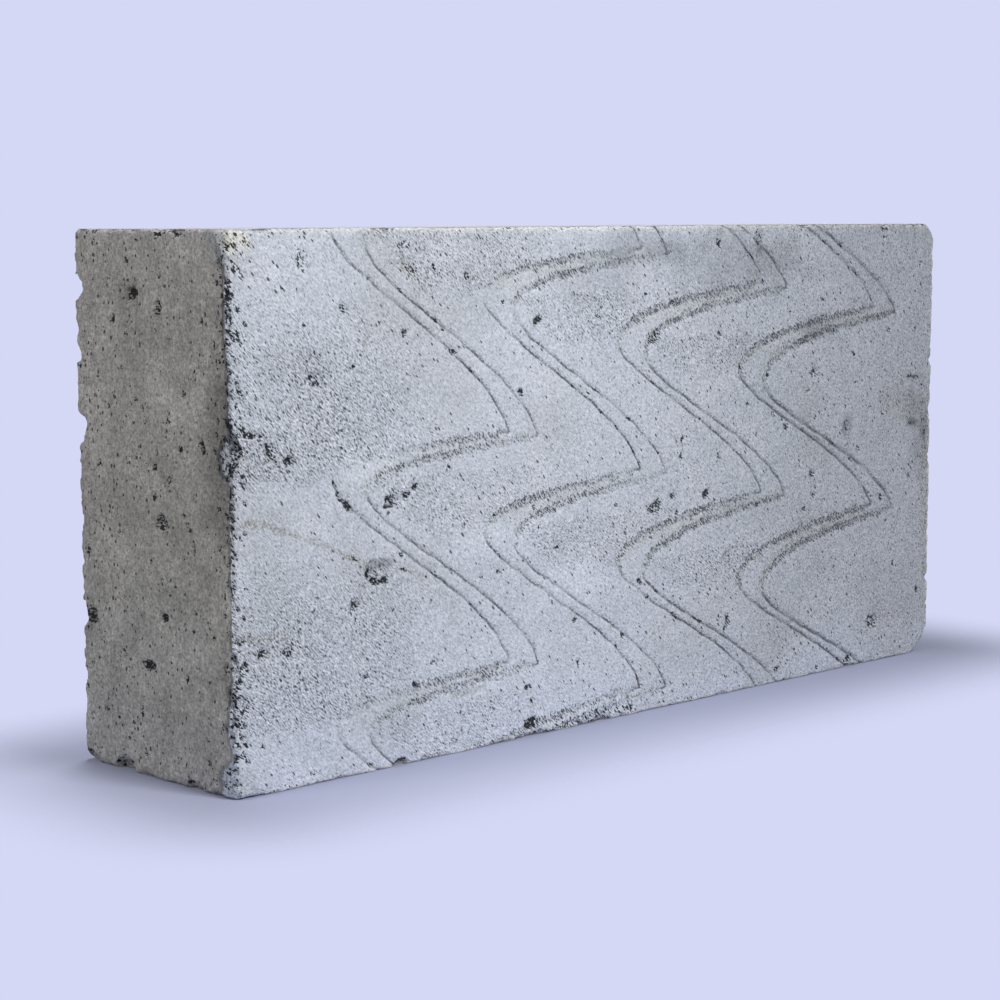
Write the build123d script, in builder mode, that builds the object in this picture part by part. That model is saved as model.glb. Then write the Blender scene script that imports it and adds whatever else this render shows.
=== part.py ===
import os

from build123d import *

# Overall sizes of the block as it stands on its long edge, in millimetres
LENGTH = 440.0
THICKNESS = 100.0
HEIGHT = 215.0

# Worn arrises, and how far a corner is knocked off along each of its edges
ARRIS_RADIUS = 1.5
HEAVY_WEAR = 15.0
MIDDLE_WEAR = 9.0
LIGHT_WEAR = 6.0
SLIGHT_WEAR = 4.5
# Corners of the front and of the back: side in X, side in Z and wear
FRONT_CORNERS = ((-1, -1, LIGHT_WEAR), (1, -1, HEAVY_WEAR), (-1, 1, SLIGHT_WEAR), (1, 1, MIDDLE_WEAR))
BACK_CORNERS = ((-1, -1, LIGHT_WEAR), (1, -1, SLIGHT_WEAR), (-1, 1, SLIGHT_WEAR), (1, 1, SLIGHT_WEAR))
# The wear is part of a ball, whose middle lies this share of the wear in from each of the three faces
WEAR_BALL_SHARE = 2.0

# Traces of the cutting wire on the front face: grooves that zigzag down the face
TRACE_WIDTH = 1.8
TRACE_DEPTH = 0.9
TRACE_PITCH = 96.6
# For each pair: left turn and throw as shares of the length, turn height and return fall as shares of the pitch
TRACE_SHARES = (
    (0.1136, 0.2145, 0.2226, 0.129),
    (0.2955, 0.2159, 0.9369, 0.186),
    (0.4786, 0.2210, 0.7091, 0.241),
    (0.6632, 0.2275, 0.5370, 0.273),
)
# The second trace of a pair stands to the right of the first, and lower, with a steeper return
PAIR_SPACING = 17.0
PAIR_FALL = 5.8
PAIR_RETURN_FALL = 3.0
# Bends of the two strokes, as shares of the throw and of the fall of the stroke
CUTTING_STROKE_SHARES = ((0.0, 0.2), (0.89, 0.62))
RETURN_STROKE_SHARES = ((0.55, 0.2), (1.0, 0.45))
# Each stroke is made of this many arcs
STROKE_ARCS = 3

# Air voids that the wire cut open: each is part of a ball, standing off the face by a share of its radius
VOID_STAND_OFF_SHARE = 0.3
LARGE_VOID = 4.6
MIDDLE_VOID = 3.4
SMALL_VOID = 2.5
# Places as shares of the length and of the height
FRONT_VOIDS = (
    (0.164, 0.366, LARGE_VOID),
    (0.180, 0.498, MIDDLE_VOID),
    (0.064, 0.591, SMALL_VOID),
    (0.534, 0.422, LARGE_VOID),
    (0.611, 0.437, MIDDLE_VOID),
    (0.787, 0.676, MIDDLE_VOID),
    (0.843, 0.546, MIDDLE_VOID),
    (0.893, 0.095, LARGE_VOID),
)
# Places as shares of the thickness, from the back, and of the height
END_VOIDS = (
    (0.390, 0.884, MIDDLE_VOID),
    (0.560, 0.860, SMALL_VOID),
    (0.610, 0.553, MIDDLE_VOID),
    (0.550, 0.474, LARGE_VOID),
    (0.450, 0.209, MIDDLE_VOID),
)

# Chips out of the arrises of the left end: place as shares of the thickness, from the back, and of the height,
# then the way out of the arris in Y and in Z, and the radius of the ball, which stands off by a share of it
CHIP_STAND_OFF_SHARE = 0.25
LARGE_CHIP = 11.5
MIDDLE_CHIP = 7.0
SMALL_CHIP = 5.5
END_CHIPS = (
    (1.0, 0.614, -1, 0, LARGE_CHIP),
    (0.0, 0.279, 1, 0, MIDDLE_CHIP),
    (0.27, 0.0, 0, -1, MIDDLE_CHIP),
    (0.73, 0.0, 0, -1, SMALL_CHIP),
)

# Turns the seam of a ball away from the block where it cuts the left end
SEAM_OUT = (0, 0, 180)

LEFT = -LENGTH / 2
FRONT = -THICKNESS / 2
BACK = THICKNESS / 2


def bent_stroke(start, end, bend_shares):
    """Draws a stroke as a chain of arcs, bent by shares of its throw and of its fall."""
    bends = [
        (start[0] + (end[0] - start[0]) * across, start[1] + (end[1] - start[1]) * down)
        for across, down in bend_shares
    ]
    guide = Bezier(start, *bends, end, mode=Mode.PRIVATE)
    for number in range(STROKE_ARCS):
        ThreePointArc(*[guide @ ((number + step) / STROKE_ARCS) for step in (0, 1 / 2, 1)])


def cut_trace(turn_x, first_turn_z, throw, return_fall):
    """Cuts one zigzag groove out of the front face, from above its top edge to below its bottom edge."""
    turn_z = first_turn_z
    while turn_z < HEIGHT:
        turn_z += TRACE_PITCH
    with BuildLine() as outline:
        while turn_z > 0:
            bent_stroke((turn_x + throw, turn_z + return_fall), (turn_x, turn_z), RETURN_STROKE_SHARES)
            next_apex_z = turn_z - TRACE_PITCH + return_fall
            bent_stroke((turn_x, turn_z), (turn_x + throw, next_apex_z), CUTTING_STROKE_SHARES)
            turn_z -= TRACE_PITCH
        offset(amount=TRACE_WIDTH / 2)
    with BuildSketch(Plane.XZ.offset(THICKNESS / 2)) as groove:
        make_face(outline.line)
    extrude(groove.sketch, amount=TRACE_DEPTH, both=True, mode=Mode.SUBTRACT)


def wear_corner(side_x, side_y, side_z, wear):
    """Knocks one corner off, as far as the wear along each of its three edges."""
    corner = Vector(side_x * LENGTH / 2, side_y * THICKNESS / 2, (1 + side_z) * HEIGHT / 2)
    reach = wear * WEAR_BALL_SHARE
    ball_middle = corner - Vector(side_x, side_y, side_z) * reach
    ball_radius = (ball_middle - corner - Vector(-side_x, 0, 0) * wear).length
    with BuildPart(mode=Mode.PRIVATE) as worn:
        with Locations(corner):
            Box(2 * reach, 2 * reach, 2 * reach)
        with Locations(ball_middle):
            Sphere(ball_radius, mode=Mode.SUBTRACT)
    add(worn.part, mode=Mode.SUBTRACT)


with BuildPart() as concrete_block:
    with Locations((0, 0, HEIGHT / 2)):
        Box(LENGTH, THICKNESS, HEIGHT)
    fillet(concrete_block.edges(), radius=ARRIS_RADIUS)

    # Knocked corners
    for side_x, side_z, wear in FRONT_CORNERS:
        wear_corner(side_x, -1, side_z, wear)
    for side_x, side_z, wear in BACK_CORNERS:
        wear_corner(side_x, 1, side_z, wear)

    # Opened voids of the front and of the left end
    for along_share, up_share, radius in FRONT_VOIDS:
        stand_off = radius * VOID_STAND_OFF_SHARE
        with Locations((LEFT + LENGTH * along_share, FRONT - stand_off, HEIGHT * up_share)):
            Sphere(radius, mode=Mode.SUBTRACT)
    for across_share, up_share, radius in END_VOIDS:
        stand_off = radius * VOID_STAND_OFF_SHARE
        with Locations((LEFT - stand_off, BACK - THICKNESS * across_share, HEIGHT * up_share)):
            Sphere(radius, rotation=SEAM_OUT, mode=Mode.SUBTRACT)

    # Chipped arrises of the left end
    for across_share, up_share, out_y, out_z, radius in END_CHIPS:
        stand_off = radius * CHIP_STAND_OFF_SHARE
        chip_y = BACK - THICKNESS * across_share + stand_off * out_y
        chip_z = HEIGHT * up_share + stand_off * out_z
        with Locations((LEFT - stand_off, chip_y, chip_z)):
            Sphere(radius, rotation=SEAM_OUT, mode=Mode.SUBTRACT)

    # Wire traces, in pairs
    for turn_share, throw_share, height_share, return_share in TRACE_SHARES:
        for second in (0, 1):
            cut_trace(
                LEFT + LENGTH * turn_share + PAIR_SPACING * second,
                TRACE_PITCH * height_share - PAIR_FALL * second,
                LENGTH * throw_share,
                TRACE_PITCH * return_share + PAIR_RETURN_FALL * second,
            )

concrete_block.part.label = "concrete_block"
os.makedirs("parts", exist_ok=True)
export_step(concrete_block.part, "parts/concrete_block.step")
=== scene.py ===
"""Lays out a wire-cut lightweight concrete block and its studio stage as a Blender add-on."""
import math
import random

import bmesh
import bpy
import numpy as np
from mathutils import Matrix, Vector, geometry, kdtree, noise


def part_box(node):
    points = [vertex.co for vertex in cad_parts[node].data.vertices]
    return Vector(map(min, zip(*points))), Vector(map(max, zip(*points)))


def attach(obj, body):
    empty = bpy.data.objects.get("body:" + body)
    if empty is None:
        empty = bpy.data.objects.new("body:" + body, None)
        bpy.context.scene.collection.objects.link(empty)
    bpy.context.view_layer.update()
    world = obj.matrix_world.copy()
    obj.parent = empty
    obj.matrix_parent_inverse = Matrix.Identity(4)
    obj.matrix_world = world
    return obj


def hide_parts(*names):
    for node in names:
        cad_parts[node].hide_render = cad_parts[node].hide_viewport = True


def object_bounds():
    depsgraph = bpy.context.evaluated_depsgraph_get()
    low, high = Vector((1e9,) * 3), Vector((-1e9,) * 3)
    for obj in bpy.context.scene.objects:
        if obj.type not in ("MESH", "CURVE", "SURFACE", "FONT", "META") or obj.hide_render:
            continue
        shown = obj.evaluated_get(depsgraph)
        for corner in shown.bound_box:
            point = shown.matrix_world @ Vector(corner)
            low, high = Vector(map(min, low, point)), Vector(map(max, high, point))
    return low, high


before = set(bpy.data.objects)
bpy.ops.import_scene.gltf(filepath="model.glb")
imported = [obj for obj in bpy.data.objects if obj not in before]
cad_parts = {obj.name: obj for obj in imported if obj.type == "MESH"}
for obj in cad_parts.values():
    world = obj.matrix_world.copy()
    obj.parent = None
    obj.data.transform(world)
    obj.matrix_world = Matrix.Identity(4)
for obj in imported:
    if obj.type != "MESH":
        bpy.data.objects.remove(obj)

bl_info = {
    "name": "Concrete block",
    "version": (1, 0, 0),
    "blender": (4, 5, 0),
    "location": "View3D > Sidebar > Concrete block",
    "description": "Builds a wire-cut lightweight concrete block and the stage it stands on",
    "category": "Object",
}

# The CAD box, straight after the frame is loaded
CAD_LOW, CAD_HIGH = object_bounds()
BLOCK_NODE = "concrete_block"

# Millimetres are the unit of all tables below; Blender's own unit is the metre
MM = 0.001
NEAR_ZERO = 1e-4
SEED = 4407

# Corners: side in X, Y and Z and how far the corner is knocked off along its edges
CORNER_WEAR = (
    (-1, -1, -1, 6.0), (1, -1, -1, 15.0), (-1, -1, 1, 4.5), (1, -1, 1, 9.0),
    (-1, 1, -1, 6.0), (1, 1, -1, 4.5), (-1, 1, 1, 4.5), (1, 1, 1, 4.5),
)
WEAR_BALL_SHARE = 2.0
WEAR_BALL_RADIUS_SHARE = 3.0

# Wire traces: left turn and throw as shares of the length, turn height and return fall as shares of the pitch
TRACE_SHARES = (
    (0.1136, 0.2145, 0.2226, 0.129),
    (0.2955, 0.2159, 0.9369, 0.186),
    (0.4786, 0.2210, 0.7091, 0.241),
    (0.6632, 0.2275, 0.5370, 0.273),
)
# How much the surface above the return strokes of each pair is torn
TORN_STRENGTH = (0.6, 0.36, 0.36, 0.3)
# How much each trace tears on its return stroke, from its right start to its left turn
STRIP_STRENGTH = (
    (0.9, 0.9, 0.45, 0.3, 0.15), (0.5, 0.8, 1.0, 0.8, 0.3), (0.4, 0.9, 1.0, 0.7, 0.15), (0.3, 0.8, 1.0, 0.8, 0.3),
    (0.7, 1.0, 1.0, 0.9, 0.7), (0.8, 0.9, 1.0, 0.9, 0.5), (0.9, 1.0, 1.0, 1.0, 0.8), (0.9, 1.0, 1.0, 1.0, 0.7),
)
# Half the width of the dark line that each trace leaves on its cutting strokes
LINE_REACH = (0.75, 0.65, 0.7, 0.65, 0.75, 0.85, 0.95, 1.15)
PAIR_FALL = 5.8
PAIR_RETURN_FALL = 3.0
CUTTING_STROKE_SHARES = ((0.0, 0.2), (0.89, 0.62))
RETURN_STROKE_SHARES = ((0.55, 0.2), (1.0, 0.45))
STROKE_POINTS = 360
WANDER = 0.7
WANDER_LENGTH = 7.0
TRACE_REACH = 9.0

# Hollows of the front face: from the left arris, up from the floor, width, height, depth and tilt in degrees
FRONT_HOLLOWS = (
    (67.0, 79.5, 3.4, 5.5, 2.8, 15), (70.5, 76.5, 6.5, 3.2, 3.0, -12), (75.5, 76.5, 4.0, 3.2, 2.2, 20),
    (71.5, 79.0, 10.0, 6.0, 1.0, -8), (72.0, 83.2, 15.0, 3.4, 0.4, -16), (79.0, 107.0, 7.5, 6.0, 2.4, 20),
    (87.0, 109.0, 4.5, 4.0, 1.6, 0), (92.0, 112.0, 4.5, 3.0, 1.3, 25), (56.5, 107.5, 3.5, 7.0, 1.7, 40),
    (28.0, 127.0, 5.5, 5.0, 2.1, 0), (39.5, 158.5, 4.0, 2.4, 1.3, 30), (42.0, 155.5, 4.6, 3.0, 1.6, 10), (56.0, 184.0, 4.5, 4.0, 1.5, 0),
    (87.0, 173.5, 3.5, 3.0, 1.3, 0), (113.0, 165.0, 4.5, 4.0, 1.5, 0), (35.0, 203.0, 5.0, 10.0, 1.1, 10),
    (87.0, 208.0, 7.0, 3.0, 0.9, 0), (304.0, 209.0, 6.0, 8.0, 0.9, 0), (91.0, 198.0, 12.0, 4.5, 1.0, -25),
    (235.0, 91.0, 9.5, 7.0, 2.5, 15), (246.0, 95.0, 4.5, 4.0, 1.6, 0), (269.0, 94.0, 6.5, 5.0, 2.1, 0),
    (249.0, 87.5, 3.0, 3.0, 1.2, 0), (252.0, 120.0, 1.7, 3.6, 1.1, 0), (251.5, 112.0, 1.8, 4.4, 1.2, 8),
    (277.0, 111.0, 1.7, 3.6, 1.1, 0), (245.0, 181.0, 3.0, 3.0, 1.1, 0), (233.0, 166.0, 8.0, 5.0, 1.5, 20),
    (161.0, 176.0, 6.5, 3.6, 1.6, 30), (276.0, 207.0, 2.6, 5.0, 1.3, 15), (346.0, 145.0, 6.0, 6.0, 1.9, 0),
    (371.0, 117.0, 7.0, 9.0, 1.1, 10), (325.0, 121.0, 4.5, 4.0, 1.5, 0), (345.0, 97.0, 5.0, 4.0, 1.6, 0),
    (346.0, 87.0, 3.0, 3.0, 1.1, 0), (339.0, 81.0, 3.0, 3.0, 1.1, 0), (284.0, 34.5, 4.0, 5.5, 1.6, 0),
    (320.0, 6.0, 4.5, 4.0, 1.5, 0), (393.0, 20.0, 9.0, 8.0, 2.3, 0), (375.0, 4.0, 5.5, 4.0, 1.6, 0),
    (430.0, 32.0, 3.0, 3.0, 1.3, 0), (60.0, 68.0, 5.0, 6.0, 1.7, 0), (14.0, 55.0, 4.5, 4.0, 1.6, 0),
    (26.0, 54.0, 5.5, 5.0, 1.7, 0), (65.0, 38.5, 3.0, 3.0, 1.1, 0), (128.0, 72.0, 3.0, 3.0, 0.7, 0),
    (138.0, 72.5, 4.0, 3.0, 0.8, 0), (157.0, 6.0, 10.0, 5.0, 2.3, 10), (155.0, 21.5, 4.5, 3.0, 1.3, 0),
    (83.0, 1.5, 7.0, 4.0, 1.8, 0), (399.0, 213.0, 7.0, 3.0, 1.4, 0), (19.0, 131.0, 3.0, 10.0, 1.5, 30),
    (9.0, 138.0, 9.0, 2.6, 1.6, -8), (15.0, 137.5, 3.0, 2.6, 1.3, 0), (50.4, 116.5, 1.8, 5.0, 1.2, 25),
    (51.8, 112.3, 2.0, 3.0, 1.2, 25), (53.8, 109.8, 2.0, 3.5, 1.2, 35), (60.0, 86.2, 3.5, 1.0, 0.8, -20),
    (86.5, 79.2, 6.0, 1.3, 0.9, -15), (97.0, 75.6, 2.5, 1.0, 0.7, -20),
    (377.5, 138.9, 2.4, 1.8, 0.7, 20), (397.3, 141.6, 2.4, 2.0, 0.7, 0), (375.9, 153.0, 2.0, 1.4, 0.5, 30),
    (327.6, 174.8, 2.4, 1.8, 0.8, 20), (296.5, 173.8, 2.4, 2.2, 0.7, 0), (380.3, 106.6, 2.6, 3.8, 0.8, 35),
    (389.0, 127.1, 2.6, 2.4, 0.7, 20), (399.1, 123.2, 2.0, 3.0, 0.7, 15), (429.4, 184.8, 2.6, 2.0, 0.6, 30),
    (428.4, 195.0, 2.4, 3.6, 0.6, 15), (425.2, 162.4, 1.6, 6.7, 0.7, -35), (403.4, 163.5, 4.0, 1.6, 0.5, 10),
    (351.0, 179.5, 4.4, 2.0, 0.6, 0), (315.6, 127.5, 5.0, 3.4, 0.9, -40), (343.3, 125.0, 3.2, 2.4, 0.6, 0),
    (358.8, 110.9, 6.6, 3.2, 0.6, -20), (373.2, 102.3, 6.6, 2.4, 0.6, -35), (311.7, 145.8, 4.0, 2.4, 0.9, -40),
    (291.5, 150.6, 2.8, 2.2, 0.9, 0), (341.2, 136.9, 4.4, 1.6, 0.5, -15), (360.9, 163.5, 4.4, 2.4, 0.8, 15),
    (371.1, 194.0, 3.2, 1.6, 0.7, -40), (370.0, 127.4, 1.8, 2.6, 0.5, 10), (424.5, 139.4, 12.0, 1.2, 0.5, -3),
    (423.8, 117.2, 11.0, 2.6, 0.6, -4), (432.0, 118.7, 2.8, 5.5, 0.6, 0), (435.1, 111.0, 4.0, 3.9, 0.7, 0),
    (430.5, 99.7, 4.0, 4.7, 0.6, 0), (421.8, 90.4, 4.4, 2.4, 0.6, 0), (434.4, 88.5, 3.2, 3.2, 0.6, 0),
)
# Hollows of the left end: from the back edge, up from the floor, then as above
END_HOLLOWS = (
    (39.0, 190.0, 7.0, 6.4, 3.4, 15), (56.0, 184.6, 4.0, 7.4, 2.6, -8), (26.0, 180.0, 2.4, 5.0, 1.3, -12),
    (56.0, 213.0, 5.0, 3.5, 1.6, 0), (69.0, 213.0, 4.5, 3.0, 1.5, 0), (36.0, 202.5, 2.2, 2.2, 0.9, 0),
    (63.0, 173.0, 2.2, 2.2, 0.9, 0), (40.0, 149.0, 2.2, 2.2, 0.9, 0), (68.0, 131.0, 2.6, 4.2, 1.6, -45),
    (82.5, 133.4, 3.2, 7.6, 1.8, 8), (91.0, 171.8, 1.2, 5.0, 0.8, 0), (83.6, 180.1, 1.6, 4.6, 0.8, -20),
    (57.0, 196.7, 2.4, 2.0, 0.9, 0), (42.5, 210.4, 2.0, 1.6, 0.8, 0), (44.4, 146.0, 1.4, 2.8, 0.7, 10), (59.2, 141.0, 2.6, 2.2, 0.8, 0),
    (53.2, 129.2, 1.0, 4.6, 0.7, 0), (78.8, 162.0, 1.3, 2.2, 0.7, 0), (21.7, 145.5, 2.0, 1.8, 0.8, 0), (8.3, 201.6, 1.8, 1.6, 0.8, 0),
    (61.0, 119.0, 6.5, 6.0, 1.1, 0), (55.0, 102.0, 8.5, 7.5, 2.1, 0),
    (70.0, 106.0, 2.4, 2.4, 0.9, 0), (76.0, 94.0, 1.8, 5.5, 1.0, 0), (56.0, 65.0, 5.5, 4.5, 2.0, 0),
    (76.0, 69.0, 2.6, 2.6, 1.0, 0), (75.0, 62.0, 2.6, 2.6, 1.0, 0), (87.0, 61.0, 2.8, 2.6, 1.0, 0),
    (29.0, 48.0, 1.6, 7.0, 0.7, 35), (45.0, 45.0, 9.5, 4.5, 2.5, 8), (70.0, 43.0, 2.2, 4.5, 1.1, 0),
    (40.0, 26.0, 2.2, 5.5, 1.1, 0), (24.0, 21.0, 2.2, 2.2, 0.9, 0), (19.0, 30.0, 2.2, 2.2, 0.9, 0),
    (83.0, 12.0, 3.2, 3.2, 1.1, 0), (42.0, 9.0, 2.4, 2.2, 0.9, 0), (51.0, 112.0, 3.0, 4.0, 1.0, 0),
    (8.0, 60.5, 6.0, 8.5, 1.8, 10), (5.0, 86.0, 2.4, 6.0, 1.2, -8),
    (96.0, 136.5, 1.6, 2.4, 1.0, -30), (94.5, 133.5, 1.4, 2.0, 1.0, 0), (96.5, 131.0, 1.5, 2.2, 1.0, 20),
    (94.8, 128.5, 1.3, 1.8, 0.9, 0), (96.4, 126.0, 1.4, 1.6, 0.9, 0), (93.6, 130.8, 1.2, 1.8, 0.8, 0),
)
# Chips out of the arrises: place in the frame, way out of the block, radii and share of the radius it stands off
ARRIS_CHIPS = (
    ((-220, -50, 131), (-1, -1, 0), (9.0, 9.5, 12.0), 0.35), ((-220, 50, 60), (-1, 1, 0), (7.0, 7.0, 7.5), 0.36),
    ((-220, 23, 0), (-1, 0, -1), (7.0, 8.5, 7.0), 0.25), ((-220, -23, 0), (-1, 0, -1), (5.5, 6.5, 5.5), 0.25),
    ((-220, 44, 2), (-1, 1, -1), (5.0, 6.0, 6.0), 0.3), ((-220, 50, 192), (-1, 1, 0), (7.0, 7.0, 6.0), 0.18),
    ((-220, 50, 165), (-1, 1, 0), (4.5, 4.5, 4.0), 0.05), ((-220, 50, 136), (-1, 1, 0), (8.0, 8.0, 8.5), 0.24),
    ((-220, 50, 100), (-1, 1, 0), (7.0, 7.0, 10.0), 0.56), ((-220, 50, 83), (-1, 1, 0), (5.0, 5.0, 5.0), 0.56),
    ((-220, 50, 36), (-1, 1, 0), (6.0, 6.0, 7.0), 0.54), ((-220, 50, 120), (-1, 1, 0), (5.0, 5.0, 5.0), 0.5),
    ((-220, 50, 150), (-1, 1, 0), (4.5, 4.5, 6.0), 0.5),
    ((220, -50, 148), (1, -1, 0), (6.0, 6.0, 6.0), 0.45), ((220, -50, 122), (1, -1, 0), (6.5, 6.5, 8.0), 0.48),
    ((220, -50, 98), (1, -1, 0), (6.0, 6.0, 9.0), 0.5), ((220, -50, 63), (1, -1, 0), (6.0, 6.0, 6.0), 0.45),
    ((220, -50, 38), (1, -1, 0), (5.5, 5.5, 5.0), 0.42), ((220, -50, 25), (1, -1, 0), (5.0, 5.0, 4.0), 0.42),
    ((-63, -50, 0), (0, -1, -1), (14.0, 5.0, 5.0), 0.35), ((-20, -50, 0), (0, -1, -1), (20.0, 5.0, 5.0), 0.42),
    ((-137, -50, 0), (0, -1, -1), (5.0, 4.5, 4.5), 0.35), ((155, -50, 0), (0, -1, -1), (8.0, 4.5, 4.5), 0.4),
    ((179, -50, 215), (0, -1, 1), (5.0, 4.5, 4.5), 0.4), ((-220, -8, 215), (-1, 0, 1), (4.5, 5.0, 4.5), 0.35),
    ((-220, -21, 215), (-1, 0, 1), (4.0, 4.0, 4.0), 0.35),
)

# Crumbled places: face, place on it, half width, half height and strength
CRUMBLES = (
    ("front", 4.5, 128.0, 7.0, 9.0, 0.9), ("front", 18.0, 130.0, 4.5, 8.0, 0.7), ("front", 30.0, 2.0, 30.0, 3.0, 0.5), ("front", 5.0, 175.0, 4.0, 6.0, 0.8),
    ("front", 196.0, 3.5, 42.0, 5.0, 0.9), ("front", 157.0, 6.5, 7.0, 5.0, 0.8), ("front", 35.0, 203.0, 4.0, 7.0, 0.8),
    ("front", 233.0, 166.0, 6.0, 4.0, 0.9), ("front", 235.0, 91.0, 6.5, 5.5, 0.7), ("front", 371.0, 117.0, 4.5, 6.0, 0.8),
    ("front", 87.0, 208.0, 5.0, 3.0, 0.7), ("front", 304.0, 209.0, 4.0, 6.0, 0.7), ("front", 92.0, 197.0, 7.0, 4.0, 0.65),
    ("front", 393.0, 20.0, 6.0, 6.0, 0.7), ("front", 26.0, 54.0, 5.0, 5.0, 0.8), ("front", 14.0, 54.0, 5.0, 4.0, 0.7),
    ("front", 251.0, 115.0, 4.0, 6.0, 0.6), ("front", 344.0, 92.0, 5.0, 8.0, 0.5), ("front", 113.0, 165.0, 5.0, 4.0, 0.6),
    ("front", 346.0, 145.0, 6.0, 6.0, 0.5), ("front", 375.0, 4.0, 7.0, 4.0, 0.7), ("front", 284.0, 35.0, 4.0, 4.0, 0.5),
    ("front", 400.0, 212.0, 7.0, 3.0, 0.7), ("front", 434.0, 120.0, 6.0, 18.0, 0.5), ("front", 432.0, 60.0, 5.0, 12.0, 0.3),
    ("front", 82.0, 108.0, 8.0, 5.0, 0.6), ("front", 57.0, 68.0, 6.0, 5.0, 0.6), ("front", 161.0, 176.0, 5.0, 4.0, 0.6),
    ("left", 55.0, 102.0, 6.0, 6.0, 0.9), ("left", 61.0, 119.0, 5.0, 5.0, 0.6), ("left", 45.0, 45.0, 7.0, 4.0, 0.8),
    ("left", 56.0, 65.0, 4.0, 5.0, 0.7), ("left", 31.0, 45.0, 4.0, 7.0, 0.5), ("left", 82.0, 63.0, 9.0, 9.0, 0.4),
    ("left", 27.0, 4.0, 9.0, 5.0, 0.9), ("left", 73.0, 3.0, 7.0, 4.0, 0.8), ("left", 6.0, 60.0, 6.0, 7.0, 1.0),
    ("left", 5.0, 6.0, 5.0, 5.0, 0.7), ("left", 60.0, 213.0, 20.0, 3.0, 0.6), ("left", 24.0, 194.0, 12.0, 8.0, 0.35),
    ("left", 90.0, 6.0, 10.0, 8.0, 0.5), ("left", 70.0, 43.0, 3.0, 5.0, 0.5), ("front", 5.0, 210.0, 9.0, 7.0, 0.8), ("left", 97.0, 208.0, 6.0, 8.0, 0.6),
    ("left", 97.0, 131.0, 5.0, 9.0, 1.0),
)
# The broken left arris of the front: height, reach on the left end, reach on the front and how crumbled it is there
ARRIS_STRIP = (
    (0.0, 9.0, 3.0, 0.7), (4.0, 10.0, 2.8, 0.7), (11.0, 9.0, 1.0, 0.8), (16.0, 4.2, 1.0, 0.5), (24.0, 6.0, 1.2, 0.7),
    (28.0, 7.0, 2.8, 0.9), (36.0, 5.5, 4.5, 1.0), (43.0, 5.0, 1.2, 1.0), (47.0, 1.4, 0.8, 0.3), (55.0, 1.6, 0.8, 0.2),
    (62.0, 2.5, 0.8, 0.9), (69.0, 1.8, 0.8, 0.8), (77.0, 1.3, 0.8, 0.5), (85.0, 3.0, 1.2, 0.9), (93.0, 2.8, 2.4, 0.9),
    (101.0, 2.8, 1.4, 0.8), (108.0, 2.0, 1.2, 1.0), (116.0, 2.2, 3.2, 0.8), (121.0, 4.0, 2.5, 0.6), (125.0, 8.0, 5.0, 0.9),
    (132.0, 9.0, 6.0, 1.0), (138.0, 4.0, 3.0, 1.0), (144.0, 2.6, 1.2, 0.8), (152.0, 2.4, 1.0, 0.5), (163.0, 3.2, 0.8, 0.7), (170.0, 4.4, 1.2, 0.9),
    (178.0, 5.0, 1.4, 1.0), (190.0, 4.4, 1.2, 1.0), (200.0, 4.6, 1.4, 0.9), (208.0, 7.0, 2.0, 0.6), (215.0, 9.0, 3.0, 0.4),
)

# Lighter and darker patches: face, place on it, half width, half height and share of the tone added
TONE_PATCHES = (
    ("left", 94.0, 128.0, 13.0, 42.0, -0.26), ("left", 63.0, 100.0, 16.0, 11.0, -0.18), ("left", 60.0, 72.0, 12.0, 8.0, -0.2),
    ("left", 70.0, 149.0, 17.0, 9.0, 0.2), ("left", 14.0, 140.0, 11.0, 26.0, 0.12), ("left", 60.0, 24.0, 40.0, 14.0, -0.09),
    ("left", 85.0, 207.0, 18.0, 7.0, 0.16), ("left", 35.0, 190.0, 15.0, 8.0, -0.18), ("left", 27.0, 85.0, 9.0, 7.0, 0.14),
    ("left", 3.0, 55.0, 7.0, 9.0, -0.25), ("left", 50.0, 162.0, 14.0, 8.0, 0.12), ("left", 52.0, 117.0, 8.0, 7.0, 0.14),
    ("left", 72.0, 52.0, 14.0, 7.0, 0.1), ("left", 22.0, 104.0, 16.0, 8.0, -0.12), ("left", 5.0, 192.0, 6.0, 10.0, 0.2),
    ("left", 34.0, 160.0, 7.0, 30.0, -0.09), ("left", 90.0, 40.0, 10.0, 10.0, -0.1),
    ("front", 215.0, 206.0, 42.0, 9.0, -0.22), ("front", 285.0, 196.0, 60.0, 14.0, -0.2), ("front", 195.0, 192.0, 34.0, 14.0, -0.17), ("front", 32.0, 165.0, 26.0, 10.0, -0.12),
    ("front", 74.0, 125.0, 24.0, 8.0, 0.12), ("front", 145.0, 86.0, 30.0, 12.0, 0.12), ("front", 185.0, 64.0, 32.0, 10.0, 0.12),
    ("front", 304.5, 209.0, 3.2, 8.0, -0.28), ("front", 427.0, 125.0, 12.0, 16.0, -0.16), ("front", 428.0, 98.0, 10.0, 12.0, -0.12), ("front", 371.0, 117.0, 5.0, 8.0, -0.3),
    ("front", 72.0, 83.2, 8.5, 2.2, -0.45), ("left", 96.0, 140.0, 9.0, 62.0, -0.16), ("left", 84.0, 107.0, 9.0, 9.0, -0.12),
    ("front", 424.5, 139.4, 7.0, 1.3, -0.35), ("front", 424.0, 117.0, 6.5, 2.2, -0.35), ("front", 434.0, 113.0, 4.0, 8.0, -0.25),
    ("front", 178.0, 6.0, 44.0, 8.0, 0.1), ("front", 348.0, 166.0, 12.0, 10.0, -0.2), ("front", 305.0, 84.0, 24.0, 10.0, -0.08),
)

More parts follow.
